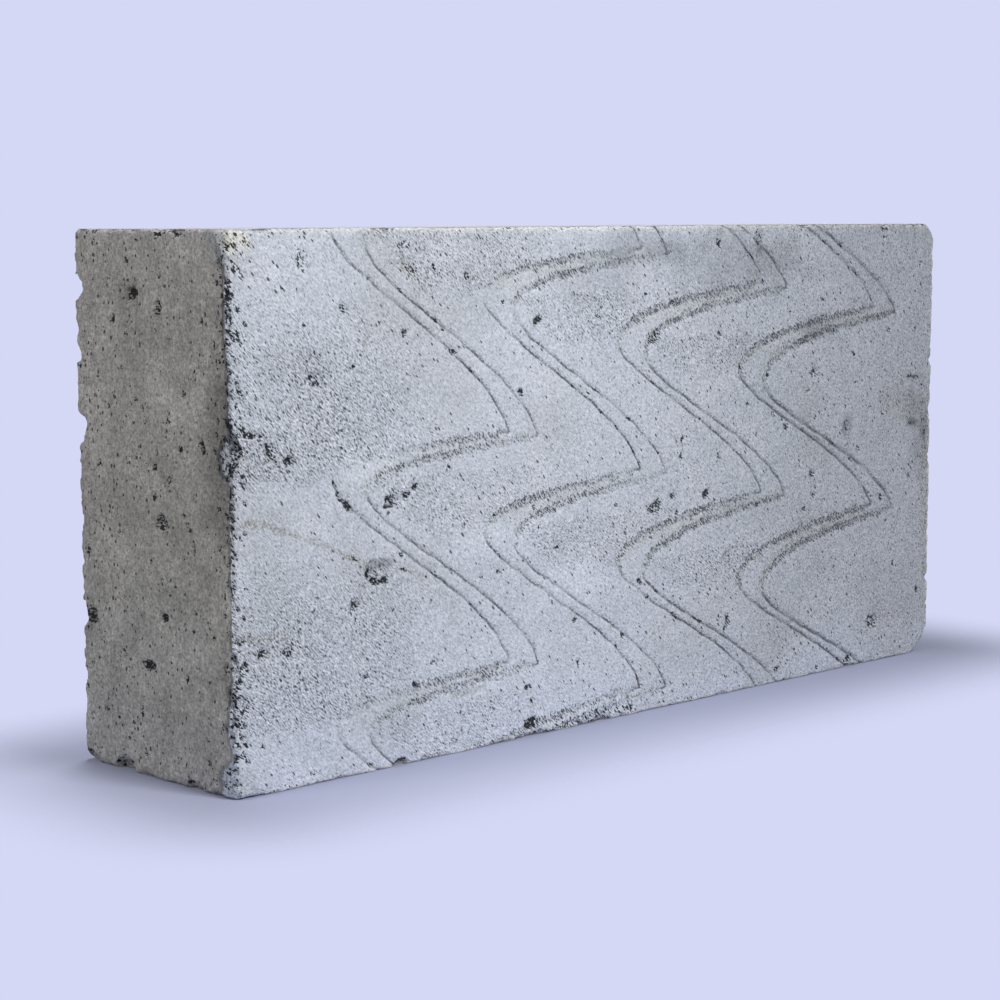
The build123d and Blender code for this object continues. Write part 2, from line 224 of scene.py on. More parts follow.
# Stains of the front face: ends of a streak from the left arris and up, half its width and strength
STAIN_STREAKS = (
    (1.0, 103.0, 8.0, 105.0, 1.5, 0.75), (8.0, 105.0, 16.0, 103.6, 1.6, 0.8), (16.0, 103.6, 26.0, 99.8, 1.4, 0.8),
    (26.0, 99.8, 33.0, 97.3, 1.1, 0.8), (33.0, 97.3, 50.0, 91.2, 1.1, 0.5), (50.0, 91.2, 57.0, 87.6, 1.1, 0.75),
    (57.0, 87.6, 66.0, 84.5, 1.1, 0.9), (78.0, 81.6, 92.0, 77.2, 1.1, 0.8), (92.0, 77.2, 99.0, 74.9, 0.9, 0.6),
    (111.0, 24.0, 130.0, 26.0, 0.9, 0.7), (0.0, 62.0, 24.0, 60.0, 1.6, 0.6),
    (405.0, 128.0, 440.0, 126.0, 9.0, 0.4), (395.0, 24.0, 440.0, 20.0, 5.0, 0.4), (436.0, 40.0, 436.0, 110.0, 6.0, 0.4),
    (2.0, 5.0, 8.0, 5.0, 5.0, 0.4), (4.0, 203.0, 8.0, 214.0, 6.0, 0.4), (300.0, 196.0, 330.0, 205.0, 6.0, 0.2),
    (14.0, 108.0, 24.0, 106.0, 5.0, 0.3), (86.0, 202.0, 97.0, 193.0, 2.4, 0.8),
)

# Sizes of the mesh cells, from the coarse grid down
COARSE_CELL = 7.2


def to_linear(hex_colour):
    """Turns an sRGB hex colour to the linear RGBA that Blender works in."""
    channels = [int(hex_colour[place:place + 2], 16) / 255 for place in (1, 3, 5)]
    return [c / 12.92 if c <= 0.04045 else ((c + 0.055) / 1.055) ** 2.4 for c in channels] + [1.0]


def smooth_step(value, start, end):
    """Rises smoothly from 0 at start to 1 at end."""
    share = np.clip((value - start) / (end - start), 0.0, 1.0)
    return share * share * (3 - 2 * share)


def noise_at(points, size, shift=0.0):
    """Smooth noise from -1 to 1 at each point, with bumps of about the given size."""
    offset = Vector((shift, shift * 0.7, shift * 1.3))
    return np.array([noise.noise(Vector(point) / size + offset) for point in points.tolist()])


def trace_points(length, height, pitch, spacing):
    """Points along the wire traces on the front face, with direction, number of the trace and kind of stroke."""
    rows = []
    for pair, (turn_share, throw_share, height_share, return_share) in enumerate(TRACE_SHARES):
        for second in (0, 1):
            turn_x = length * turn_share + spacing * second
            throw = length * throw_share
            return_fall = pitch * return_share + PAIR_RETURN_FALL * second
            turn_z = pitch * height_share - PAIR_FALL * second
            while turn_z < height:
                turn_z += pitch
            while turn_z > -pitch:
                strokes = (
                    ((turn_x + throw, turn_z + return_fall), (turn_x, turn_z), RETURN_STROKE_SHARES, 1.0),
                    ((turn_x, turn_z), (turn_x + throw, turn_z - pitch + return_fall), CUTTING_STROKE_SHARES, 0.0),
                )
                for start, end, bends, is_return in strokes:
                    handles = [Vector((start[0] + (end[0] - start[0]) * across, start[1] + (end[1] - start[1]) * down))
                               for across, down in bends]
                    line = geometry.interpolate_bezier(Vector(start), *handles, Vector(end), STROKE_POINTS)
                    line = [point + WANDER * noise.noise_vector(point.to_3d() / WANDER_LENGTH).to_2d() for point in line]
                    for number, point in enumerate(line[:-1]):
                        way = (line[number + 1] - point).normalized()
                        if number == 0 and rows:
                            way = (way + Vector(rows[-1][2:4])).normalized()
                        rows.append((point.x, point.y, way.x, way.y, 2 * pair + second, is_return,
                                     number / STROKE_POINTS))
                turn_z -= pitch
    table = np.array(rows)
    return table[(table[:, 1] > -TRACE_REACH) & (table[:, 1] < height + TRACE_REACH)]


def stroke_at(share, bends, given):
    """The other share of a bent stroke, fall or throw, where one of them is given: 0 the throw, 1 the fall."""
    step = np.linspace(0, 1, 80)
    throw, fall = (3 * (1 - step) ** 2 * step * bends[0][way] + 3 * (1 - step) * step ** 2 * bends[1][way] + step ** 3
                   for way in (0, 1))
    return np.interp(share, throw, fall) if given == 0 else np.interp(share, fall, throw)


def streak_gap(places, streak):
    """Distance of each place on the front face from a stain's middle line."""
    start, way = np.array(streak[:2]), np.array(streak[2:4]) - streak[:2]
    share = np.clip(((places - start) @ way) / (way @ way), 0, 1)
    return np.linalg.norm(places - start - share[:, None] * way, axis=1)


def finder(points):
    """A tree that finds the nearest of the points."""
    tree = kdtree.KDTree(len(points))
    for number, (across, up) in enumerate(points.tolist()):
        tree.insert((across, up, 0.0), number)
    tree.balance()
    return tree


def nearest(tree, points):
    """Number of the nearest point in the tree and distance to it, for each place."""
    found = [tree.find((across, up, 0.0)) for across, up in points.tolist()]
    return np.array([hit[1] for hit in found]), np.array([hit[2] for hit in found])


def make_hollows(length, thickness, height, points):
    """All hollows as rows of face, place on the face, half width, half height, depth, tilt and seed."""
    rows = [("front", *row[:2], row[2] / 2, row[3] / 2, *row[4:]) for row in FRONT_HOLLOWS]
    rows += [("left", *row[:2], row[2] / 2, row[3] / 2, *row[4:]) for row in END_HOLLOWS]
    dice = random.Random(SEED)
    # Small pores that the wire and the mould opened all over
    for face, width, count in (("front", length, 110), ("left", thickness, 50), ("back", length, 130),
                               ("right", thickness, 40), ("top", length, 40)):
        tall = thickness if face == "top" else height
        for _ in range(count):
            size = 0.6 + (1.6 if face in ("back", "right") else 0.9) * dice.random() ** 3
            rows.append((face, dice.uniform(2, width - 2), dice.uniform(2, tall - 2), size, size * dice.uniform(0.7, 1.6),
                         size * dice.uniform(0.7, 1.1), dice.uniform(10, 50) if face == "front" else dice.uniform(-15, 15)))
    # Slanting pits like rice grains in the crumbled strip along the left arris of the front
    for _ in range(120):
        up = dice.choice((dice.uniform(150, 210), dice.uniform(98, 145), dice.uniform(15, 62), dice.uniform(4, 210)))
        rows.append(("front", 0.6 + 6.5 * dice.random() ** 1.6, up, dice.uniform(0.5, 0.9), dice.uniform(0.8, 1.7),
                     dice.uniform(0.7, 1.4), dice.uniform(15, 45)))
    # Short slots broken out along the cutting strokes, mostly on the first trace of a pair
    strokes = points[(points[:, 5] < 0.5) & (points[:, 6] > 0.15)]
    for _ in range(70):
        across, up, way_x, way_z, trace = strokes[dice.randrange(len(strokes))][:5]
        if trace % 2 and dice.random() < 0.6:
            continue
        rows.append(("front", across, up, dice.uniform(0.9, 2.2), dice.uniform(0.45, 0.8), dice.uniform(0.8, 1.3),
                     math.degrees(math.atan2(way_z, way_x))))
    for _ in range(110):
        rows.append(("left", thickness - 0.5 - 9.0 * dice.random() ** 2, dice.uniform(4, 210), dice.uniform(0.5, 0.9),
                     dice.uniform(0.8, 1.6), dice.uniform(0.6, 1.2), dice.uniform(-30, 30)))
    return [(*row, number) for number, row in enumerate(rows)]


def make_chips(low, high):
    """All chips out of the arrises as rows of middle, radii and seed."""
    rows = []
    for place, out, radii, stand_off in ARRIS_CHIPS:
        radii = np.array(radii)
        rows.append((np.array(place, float) + radii * stand_off * np.array(out), radii))
    dice = random.Random(SEED + 1)
    span = high - low
    for axis in range(3):
        others = [other for other in range(3) if other != axis]
        for sides in ((0, 0), (0, 1), (1, 0), (1, 1)):
            along = dice.uniform(3, 9)
            while along < span[axis] - 3:
                radius = 1.3 + 2.2 * dice.random() ** 2
                middle = np.array(low, float)
                middle[axis] += along
                for other, side in zip(others, sides):
                    middle[other] = (low, high)[side][other] + (2 * side - 1) * radius * dice.uniform(0.2, 0.55)
                radii = np.full(3, radius)
                radii[axis] *= dice.uniform(1.0, 2.4)
                rows.append((middle, radii))
                along += dice.uniform(3, 11)
    # The left arris of the front is broken all the way up
    up = 2.0
    while up < span[2] - 2:
        radius = dice.uniform(1.6, 3.4)
        stand_off = radius * dice.uniform(0.3, 0.6)
        middle = np.array((low[0] - stand_off * dice.uniform(0.6, 1.3), low[1] - stand_off * dice.uniform(0.6, 1.3), up))
        rows.append((middle, np.array((radius, radius, radius * dice.uniform(0.7, 1.5)))))
        up += dice.uniform(2.5, 7.5)
    return [(*row, number) for number, row in enumerate(rows)]


class BlockShape:
    """The shape of the block in millimetres: its box, its traces, hollows and chips."""

    def __init__(self, settings):
        low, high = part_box(BLOCK_NODE)
        self.low = np.array(low) / MM
        self.high = np.array(high) / MM
        self.size = self.high - self.low
        self.arris_radius = settings.arris_radius / MM
        self.trace_half_width = settings.trace_width / MM / 2
        self.trace_depth = settings.trace_depth / MM
        self.pitch = settings.trace_pitch / MM
        self.spacing = settings.pair_spacing / MM
        self.points = trace_points(self.size[0], self.size[2], self.pitch, self.spacing)
        self.tree = finder(self.points[:, :2])
        self.cutting_tree = finder(self.points[self.points[:, 5] < 0.5, :2])
        self.hollows = make_hollows(*self.size, self.points)
        self.chips = make_chips(self.low, self.high)

    def on_face(self, places, face):
        """Which places lie on a face, and their two coordinates on it."""
        left = places[:, 0] - self.low[0]
        up = places[:, 2] - self.low[2]
        back = self.high[1] - places[:, 1]
        faces = {
            "front": (places[:, 1] - self.low[1], left, up),
            "back": (self.high[1] - places[:, 1], left, up),
            "left": (places[:, 0] - self.low[0], back, up),
            "right": (self.high[0] - places[:, 0], back, up),
            "top": (self.high[2] - places[:, 2], left, back),
        }
        off, across, along = faces[face]
        return off < NEAR_ZERO / MM * 10, across, along

    def arris_distance(self, places):
        """Distance to the nearest arris, on the surface."""
        gaps = np.sort(np.minimum(places - self.low, self.high - places), axis=1)
        return gaps[:, 1]

    def hollow_share(self, hollow, across, along):
        """How far out each place lies in a hollow: 0 in its middle and 1 at its rim."""
        _, middle_across, middle_along, half_width, half_height, _, tilt, _ = hollow
        turn = math.radians(tilt)
        side, rise = across - middle_across, along - middle_along
        u = (side * math.cos(turn) + rise * math.sin(turn)) / half_width
        v = (-side * math.sin(turn) + rise * math.cos(turn)) / half_height
        return np.hypot(u, v)


def halve_cells(bm, chosen):
    """Splits the chosen faces in four."""
    edges = {edge for face in chosen for edge in face.edges}
    bmesh.ops.subdivide_edges(bm, edges=list(edges), cuts=1, use_grid_fill=True)


def make_cells(shape):
    """The plain box as a mesh of square cells, finer where the surface has more to show."""
    bm = bmesh.new()
    bmesh.ops.create_cube(bm, size=1.0)
    bmesh.ops.scale(bm, vec=Vector(shape.size), verts=bm.verts)
    bmesh.ops.translate(bm, vec=Vector((shape.low + shape.high) / 2), verts=bm.verts)
    for axis in range(3):
        along = [edge for edge in bm.edges
                 if abs(edge.verts[0].co[axis] - edge.verts[1].co[axis]) > NEAR_ZERO]
        bmesh.ops.subdivide_edges(bm, edges=along, cuts=round(shape.size[axis] / COARSE_CELL) - 1, use_grid_fill=True)
    for level in range(1, 5):
        cell = COARSE_CELL / 2 ** level
        faces = [face for face in bm.faces if len(face.verts) == 4]
        spans = np.array([max(edge.calc_length() for edge in face.edges) for face in faces])
        places = np.array([face.calc_center_median() for face in faces])
        wanted = (wanted_cell(shape, places, level) <= cell * 1.01) & (spans > cell * 1.6) & (spans < cell * 2.4)
        halve_cells(bm, [faces[number] for number in np.flatnonzero(wanted)])
    many_sided = [face for face in bm.faces if len(face.verts) > 4]
    bmesh.ops.triangulate(bm, faces=many_sided)
    return bm


def wanted_cell(shape, places, level):
    """Size of cell that the surface asks for at each place."""
    wanted = np.full(len(places), COARSE_CELL)
    near = shape.arris_distance(places)
    front, left, up = shape.on_face(places, "front")
    end, _, _ = shape.on_face(places, "left")
    seen = front | end
    wanted[seen | (near < 9)] = COARSE_CELL / 2
    wanted[near < 4.5] = COARSE_CELL / 4
    wanted[seen & (near < 6)] = COARSE_CELL / 4
    wanted[seen & (near < 2.6)] = COARSE_CELL / 8
    broken = end & ((places[:, 1] > shape.high[1] - 5) | (places[:, 1] < shape.low[1] + 9))
    wanted[broken] = COARSE_CELL / 8
    if level > 1:
        on_front = np.flatnonzero(front)
        _, gap = nearest(shape.tree, np.stack((left, up), 1)[on_front])
        close = on_front[gap < 7.5]
        wanted[close] = np.minimum(wanted[close], COARSE_CELL / 4)
        close = on_front[gap < 2.4]
        wanted[close] = np.minimum(wanted[close], COARSE_CELL / 8)
        left_arris = front & (left < 8)
        wanted[left_arris] = np.minimum(wanted[left_arris], COARSE_CELL / 8)
        flat = np.stack((left, up), 1)
        for streak in STAIN_STREAKS:
            close = front & (streak_gap(flat, streak) < streak[4] + 1.5) & (streak[4] < 1.7)
            wanted[close] = COARSE_CELL / 8
        for hollow in shape.hollows:
            on_it, across, along = shape.on_face(places, hollow[0])
            reach = max(hollow[3], hollow[4])
            gap = np.hypot(across - hollow[1], along - hollow[2]) - reach
            # A shallow dent needs only middling cells
            fine = 8 if hollow[5] / reach > 0.35 or reach < 3 else 4
            for margin, divisor in ((4.5, 4), (1.6, fine)):
                close = on_it & (gap < margin)
                wanted[close] = np.minimum(wanted[close], COARSE_CELL / divisor)
    return wanted


def shape_block(shape, bm):
    """Moves the mesh's points to the worn, chipped, hollowed and wire-cut surface and returns the fields for its
    colour, with painted shade and painted highlight among them.
    """
    rest = np.array([vert.co for vert in bm.verts])
    low, high = shape.low, shape.high
    count = len(rest)
    coarse_noise = noise_at(rest, 14.0, 3.1)
    middle_noise = noise_at(rest, 5.0, 7.7)
    fine_noise = noise_at(rest, 2.1, 11.3)
    near = shape.arris_distance(rest)
    place = rest.copy()

    # Worn arrises, rounded more here and less there
    radius = np.clip(shape.arris_radius * (1 + 0.5 * coarse_noise + 0.45 * middle_noise), 0.7, 8.0)
    radii = np.repeat(radius[:, None], 3, axis=1)
    by_left_arris = (rest[:, 0] < low[0] + 14) & (rest[:, 1] < low[1] + 14)
    strip_rows = np.array(ARRIS_STRIP)
    on_end, on_cut, crumbled = (np.interp(rest[:, 2] - low[2], strip_rows[:, 0], strip_rows[:, part]) for part in (1, 2, 3))
    uneven = 1 + 0.5 * middle_noise + 0.4 * fine_noise
    radii[by_left_arris, 1] = np.clip(on_end * uneven, 0.8, 12.0)[by_left_arris]
    radii[by_left_arris, 0] = np.clip(on_cut * uneven, 0.8, 12.0)[by_left_arris]
    # The left arris of the back is sharper
    radii[(rest[:, 0] < low[0] + 10) & (rest[:, 1] > high[1] - 10), :2] *= 0.4
    inner = np.clip(place, low + radii, high - radii)
    out = (place - inner) / radii
    bent = np.count_nonzero(np.abs(out) > NEAR_ZERO, axis=1) > 1
    place[bent] = inner[bent] + out[bent] / np.linalg.norm(out[bent], axis=1)[:, None] * radii[bent]

    # Knocked corners
    for side_x, side_y, side_z, wear in CORNER_WEAR:
        side = np.array((side_x, side_y, side_z))
        corner = np.where(side > 0, high, low)
        middle = corner - side * wear * WEAR_BALL_SHARE
        away = place - middle
        ball = wear * WEAR_BALL_RADIUS_SHARE * (1 + 0.03 * middle_noise)
        length = np.linalg.norm(away, axis=1)
        outside = np.all(away * side > 0, axis=1) & (length > ball)
        place[outside] = middle + away[outside] * (ball[outside] / length[outside])[:, None]

    # Chips out of the arrises, with broken rims
    chipped = np.zeros(count)
    for middle, radii, seed in shape.chips:
        inside = np.flatnonzero(np.all(np.abs(place - middle) < radii * 1.4, axis=1))
        if len(inside) == 0:
            continue
        away = (place[inside] - middle) / radii
        length = np.linalg.norm(away, axis=1)
        limit = 1 + 0.25 * noise_at(place[inside], radii.mean() * 0.7, seed * 1.7)
        limit += 1.0 / radii.mean() * fine_noise[inside]
        cut = (length < limit) & (length > NEAR_ZERO)
        hit = inside[cut]
        place[hit] = middle + away[cut] * (limit[cut] / length[cut])[:, None] * radii
        chipped[hit] = np.maximum(chipped[hit], np.clip((limit[cut] - length[cut]) * radii.mean() / 2.0, 0, 1))

    # Hollows, with a near-black painted shade in them that is darker where a hollow is deep for its width
    depth = {face: np.zeros(count) for face in ("front", "back", "left", "right", "top")}
    hollowed = np.zeros(count)
    for hollow in shape.hollows:
        on_it, across, along = shape.on_face(rest, hollow[0])
        reach = max(hollow[3], hollow[4]) * 1.5
        inside = np.flatnonzero(on_it & (np.abs(across - hollow[1]) < reach) & (np.abs(along - hollow[2]) < reach))
        if len(inside) == 0:
            continue
        share = shape.hollow_share(hollow, across[inside], along[inside])
        share *= 1 + 0.42 * noise_at(rest[inside], max(1.4, reach * 0.4), hollow[7] * 2.3)
        sunk = hollow[5] * np.clip(1 - share ** 3, 0, 1) * (1 + 0.25 * fine_noise[inside])
        depth[hollow[0]][inside] = np.maximum(depth[hollow[0]][inside], sunk)
        dark = smooth_step(share, 1.1, 0.6) * min(1.0, 1.1 * hollow[5] / min(hollow[3], hollow[4]))
        hollowed[inside] = np.maximum(hollowed[inside], dark)

    # Traces of the wire: crisp grooves on the cutting strokes and broad rough ones on the return strokes
    front, left, up = shape.on_face(rest, "front")
    on_front = np.flatnonzero(front)
    flat = np.stack((left, up), 1)[on_front]
    number, _ = nearest(shape.tree, flat)
    row = shape.points[number]
    aside = (flat[:, 0] - row[:, 0]) * row[:, 3] - (flat[:, 1] - row[:, 1]) * row[:, 2]
    gap = np.abs(aside)
    ends = np.hypot(flat[:, 0] - row[:, 0], flat[:, 1] - row[:, 1])
    aside = np.where(ends > gap + 0.3, np.sign(aside) * ends, aside)
    gap = np.abs(aside)
    is_return = np.where(row[:, 5] > 0.5, smooth_step(row[:, 6], 0.0, 0.05), smooth_step(row[:, 6], 0.10, 0.0))
    # A return stroke tears the surface more here and less there
    strip_share = np.zeros(len(flat))
    for trace, strengths in enumerate(STRIP_STRENGTH):
        along_stroke = np.where(row[:, 5] > 0.5, row[:, 6], 1.0)
        tearing = np.interp(along_stroke, np.linspace(0, 1, len(strengths)), strengths)
        strip_share = np.where(row[:, 4] == trace, is_return * tearing, strip_share)
    rough = fine_noise[on_front] * 0.5 + middle_noise[on_front] * 0.5
    line_reach = np.array(LINE_REACH)[row[:, 4].astype(int)]
    half_width = shape.trace_half_width * line_reach / LINE_REACH[0] * (1 + 1.1 * is_return) * (1 + 0.25 * middle_noise[on_front])
    groove = shape.trace_depth * (1 - is_return + 0.7 * strip_share) * np.clip(1 - (gap / half_width) ** 2, 0, 1)
    groove *= 1 + 0.6 * is_return * rough
    depth["front"][on_front] = np.maximum(depth["front"][on_front], groove)
    # Points next to a groove's bottom slide onto it
    snap = (gap < 0.28) & (near[on_front] > 3) & (is_return < 0.5)
    slide = on_front[snap]
    place[slide, 0] -= aside[snap] * row[snap, 3]
    place[slide, 2] += aside[snap] * row[snap, 2]
    aside = np.where(snap, 0.0, aside)

    # The surface is torn above each return stroke and beside its left turn, up to the return stroke of the pair before
    torn = np.zeros(count)
    _, gap_to_cut = nearest(shape.cutting_tree, flat)
    ragged = 3.0 * middle_noise[on_front] + 6.0 * coarse_noise[on_front]
    before = None
    for (turn_share, throw_share, height_share, return_share), strength in zip(TRACE_SHARES, TORN_STRENGTH):
        past_turn = flat[:, 0] - shape.size[0] * turn_share
        fallen = stroke_at(1 - past_turn / (shape.size[0] * throw_share), RETURN_STROKE_SHARES, 0)
        floor = shape.pitch * (height_share + return_share * (1 - fallen))
        over = np.mod(flat[:, 1] - floor + 6, shape.pitch) - 6
        zone = smooth_step(over + 0.4 * ragged, -3.0, 5.0) * smooth_step(past_turn + ragged, 75.0, -15.0)
        if before is None:
            zone *= smooth_step(over + ragged, 80.0, 25.0)
        else:
            last_floor, last_turn, last_height, last_throw, last_return = before
            zone *= smooth_step(over - np.mod(last_floor - floor, shape.pitch), 2.0, -4.0)
            drop = np.mod(last_height - flat[:, 1], shape.pitch) / (shape.pitch - last_return)
            edge = last_turn + shape.spacing + last_throw * stroke_at(drop, CUTTING_STROKE_SHARES, 1)
            zone *= smooth_step(flat[:, 0] - edge + 0.5 * ragged, 0.0, 9.0)
        torn[on_front] = np.maximum(torn[on_front], strength * zone)
        before = (floor, shape.size[0] * turn_share, shape.pitch * height_share, shape.size[0] * throw_share,
                  shape.pitch * return_share)
    torn[on_front] *= (0.3 + 0.7 * smooth_step(gap_to_cut, 1.0, 6.0)) * (1.0 + 0.5 * noise_at(rest[on_front], 30.0, 2.2))
    torn[on_front] = np.clip(0.05 + 0.18 * smooth_step(flat[:, 0], 160.0, 340.0) + torn[on_front], 0, 0.75)
    back, _, _ = shape.on_face(rest, "back")
    torn[back] = 0.1 + 0.35 * smooth_step(noise_at(rest[back], 40.0, 8.4), 0.0, 0.5)
    depth["front"][on_front] += 0.22 * torn[on_front] * np.clip(0.5 + fine_noise[on_front] + middle_noise[on_front], 0, 2)
    # Slow waves in every face
    wave = 0.16 * (1 + noise_at(rest, 46.0, 5.5))
    for face, axis, way in (("front", 1, 1), ("back", 1, -1), ("left", 0, 1), ("right", 0, -1), ("top", 2, -1)):
        on_it, _, _ = shape.on_face(rest, face)
        place[:, axis] += way * (depth[face] + np.where(on_it, wave + 0.05 * (1 + middle_noise), 0.0))

    place = np.clip(place, low, high)
    for vert, point in zip(bm.verts, place.tolist()):
        vert.co = Vector(point) * MM

    # Fields for the colour and relief, with painted shade and painted highlight among them
    signed = np.full(count, TRACE_REACH)
    strip = row[:, 4] + (aside > 0)
    signed[on_front] = np.clip(np.abs(aside), 0, TRACE_REACH) * np.where(strip % 2 == 0, 1.0, -1.0)
    returning = np.zeros(count)
    returning[on_front] = is_return
    reach = np.full(count, LINE_REACH[0])
    reach[on_front] = line_reach
    strip_strength = np.zeros(count)
    strip_strength[on_front] = strip_share
    stain = np.zeros(count)
    for streak in STAIN_STREAKS:
        half, strength = streak[4:]
        blot = smooth_step(streak_gap(flat, streak) + half * 0.9 * middle_noise[on_front], half * 1.4, half * 0.2)
        stain[on_front] = np.maximum(stain[on_front], strength * blot)
    crumble = np.clip(0.9 - near / 3.0, 0, 1) * smooth_step(coarse_noise + 0.4 * middle_noise, 0.0, 0.6)
    for face, across, along, half_width, half_height, strength in CRUMBLES:
        on_it, face_across, face_along = shape.on_face(rest, face)
        share = np.hypot((face_across - across) / half_width, (face_along - along) / half_height)
        share += 0.35 * middle_noise + 0.2 * fine_noise
        crumble = np.maximum(crumble, np.where(on_it, strength * smooth_step(share, 1.25, 0.35), 0.0))
    crumble = np.maximum(crumble, chipped)
    from_arris = np.where(front, rest[:, 0] - low[0], rest[:, 1] - low[1])
    strip_reach = np.where(front, on_cut, on_end) * uneven
    beside = (front | shape.on_face(rest, "left")[0]) & (from_arris < 16)
    crumble = np.where(beside, np.maximum(crumble, crumbled * smooth_step(from_arris, strip_reach + 1.8, strip_reach - 0.4)),
                       crumble)
    wear_and_painted_highlight = np.clip(1.0 - near / 6.0, 0, 1)
    wear_and_painted_highlight[by_left_arris] *= 0.3
    wear_and_painted_highlight[shape.on_face(rest, "left")[0]] *= 0.3
    # The top face is painted pale cream, a painted highlight of light from above, paler away from the left end
    top = rest[:, 2] > high[2] - 0.01
    wear_and_painted_highlight[top] = 0.6 + 0.35 * smooth_step(rest[top, 0] - low[0], 4.0, 40.0)
    # The upper left corner of the front is rubbed pale, with the end beside it
    end = shape.on_face(rest, "left")[0]
    corner = np.hypot(from_arris - 3, rest[:, 2] - high[2]) + 4 * middle_noise
    rubbed = (front | end) * smooth_step(corner, 15.0, 4.0)
    wear_and_painted_highlight = np.maximum(wear_and_painted_highlight, np.where(front, 1.25, 1.0) * rubbed)
    rise = (rest[:, 2] - low[2]) / shape.size[2]
    # Painted shade on the front: darker towards the right end, more so higher up, and lighter near the bottom, standing
    # in for the lamp's falloff
    tone_and_painted_shade = 1 - front * (0.0 + 0.24 * smooth_step(rest[:, 0], -60.0, 180.0) * (0.6 + 0.6 * rise) - 0.08 * smooth_step(rise, 0.4, 0.0))
    # A pale line along the right arris of the front, pale cream in colour and lighter in tone
    rim = front * smooth_step(rest[:, 0] + 0.8 * middle_noise, high[0] - 2.4, high[0] - 0.6)
    wear_and_painted_highlight += 0.6 * rim
    tone_and_painted_shade += 0.45 * rim
    for face, across, along, half_width, half_height, more in TONE_PATCHES:
        on_it, face_across, face_along = shape.on_face(rest, face)
        share = np.hypot((face_across - across) / half_width, (face_along - along) / half_height)
        tone_and_painted_shade += np.where(on_it, more * smooth_step(share + 0.5 * coarse_noise + 0.2 * middle_noise, 1.3, 0.2), 0.0)
    mould = np.zeros(count)
    other_end, _, _ = shape.on_face(rest, "right")
    beds = (rest[:, 2] < low[2] + 0.01) | (rest[:, 2] > high[2] - 0.01)
    mould[(end | other_end | beds) & ~front] = 1.0
    # The lighter mix of the two greys on the top face is part of the same painted highlight
    mould[top & ~front & ~end] = 0.45
    pinholes = np.where(end, 0.75 + 0.25 * smooth_step(high[1] - rest[:, 1] + 14 * coarse_noise, 85.0, 40.0), 1.0)
    by_strip = end & ~front & (from_arris < 16)
    edge = 0.5 * strip_reach + 0.7 * np.clip(on_end - 4, 0, 6)
    mould[by_strip] = (smooth_step(from_arris, edge - 0.6, edge + 0.8) * (1 - 0.8 * np.maximum(chipped, rubbed)))[by_strip]
    return {
        "trace_distance": signed, "return_stroke": returning, "strip": strip_strength, "line_reach": reach, "torn": torn,
        "hollow": hollowed, "crumble": crumble,
        "arris": wear_and_painted_highlight, "mould": mould, "pinholes": pinholes, "stain": stain, "tone_and_painted_shade": tone_and_painted_shade,
    }


def add_node(tree, kind, links=None, **settings):
    """Adds a node with its settings, and links or sets its inputs."""
    node = tree.nodes.new(kind)
    for name, value in settings.items():
        setattr(node, name, value)
    for socket, value in (links or {}).items():
        if isinstance(value, bpy.types.NodeSocket):
            tree.links.new(value, node.inputs[socket])
        else:
            node.inputs[socket].default_value = value
    return node


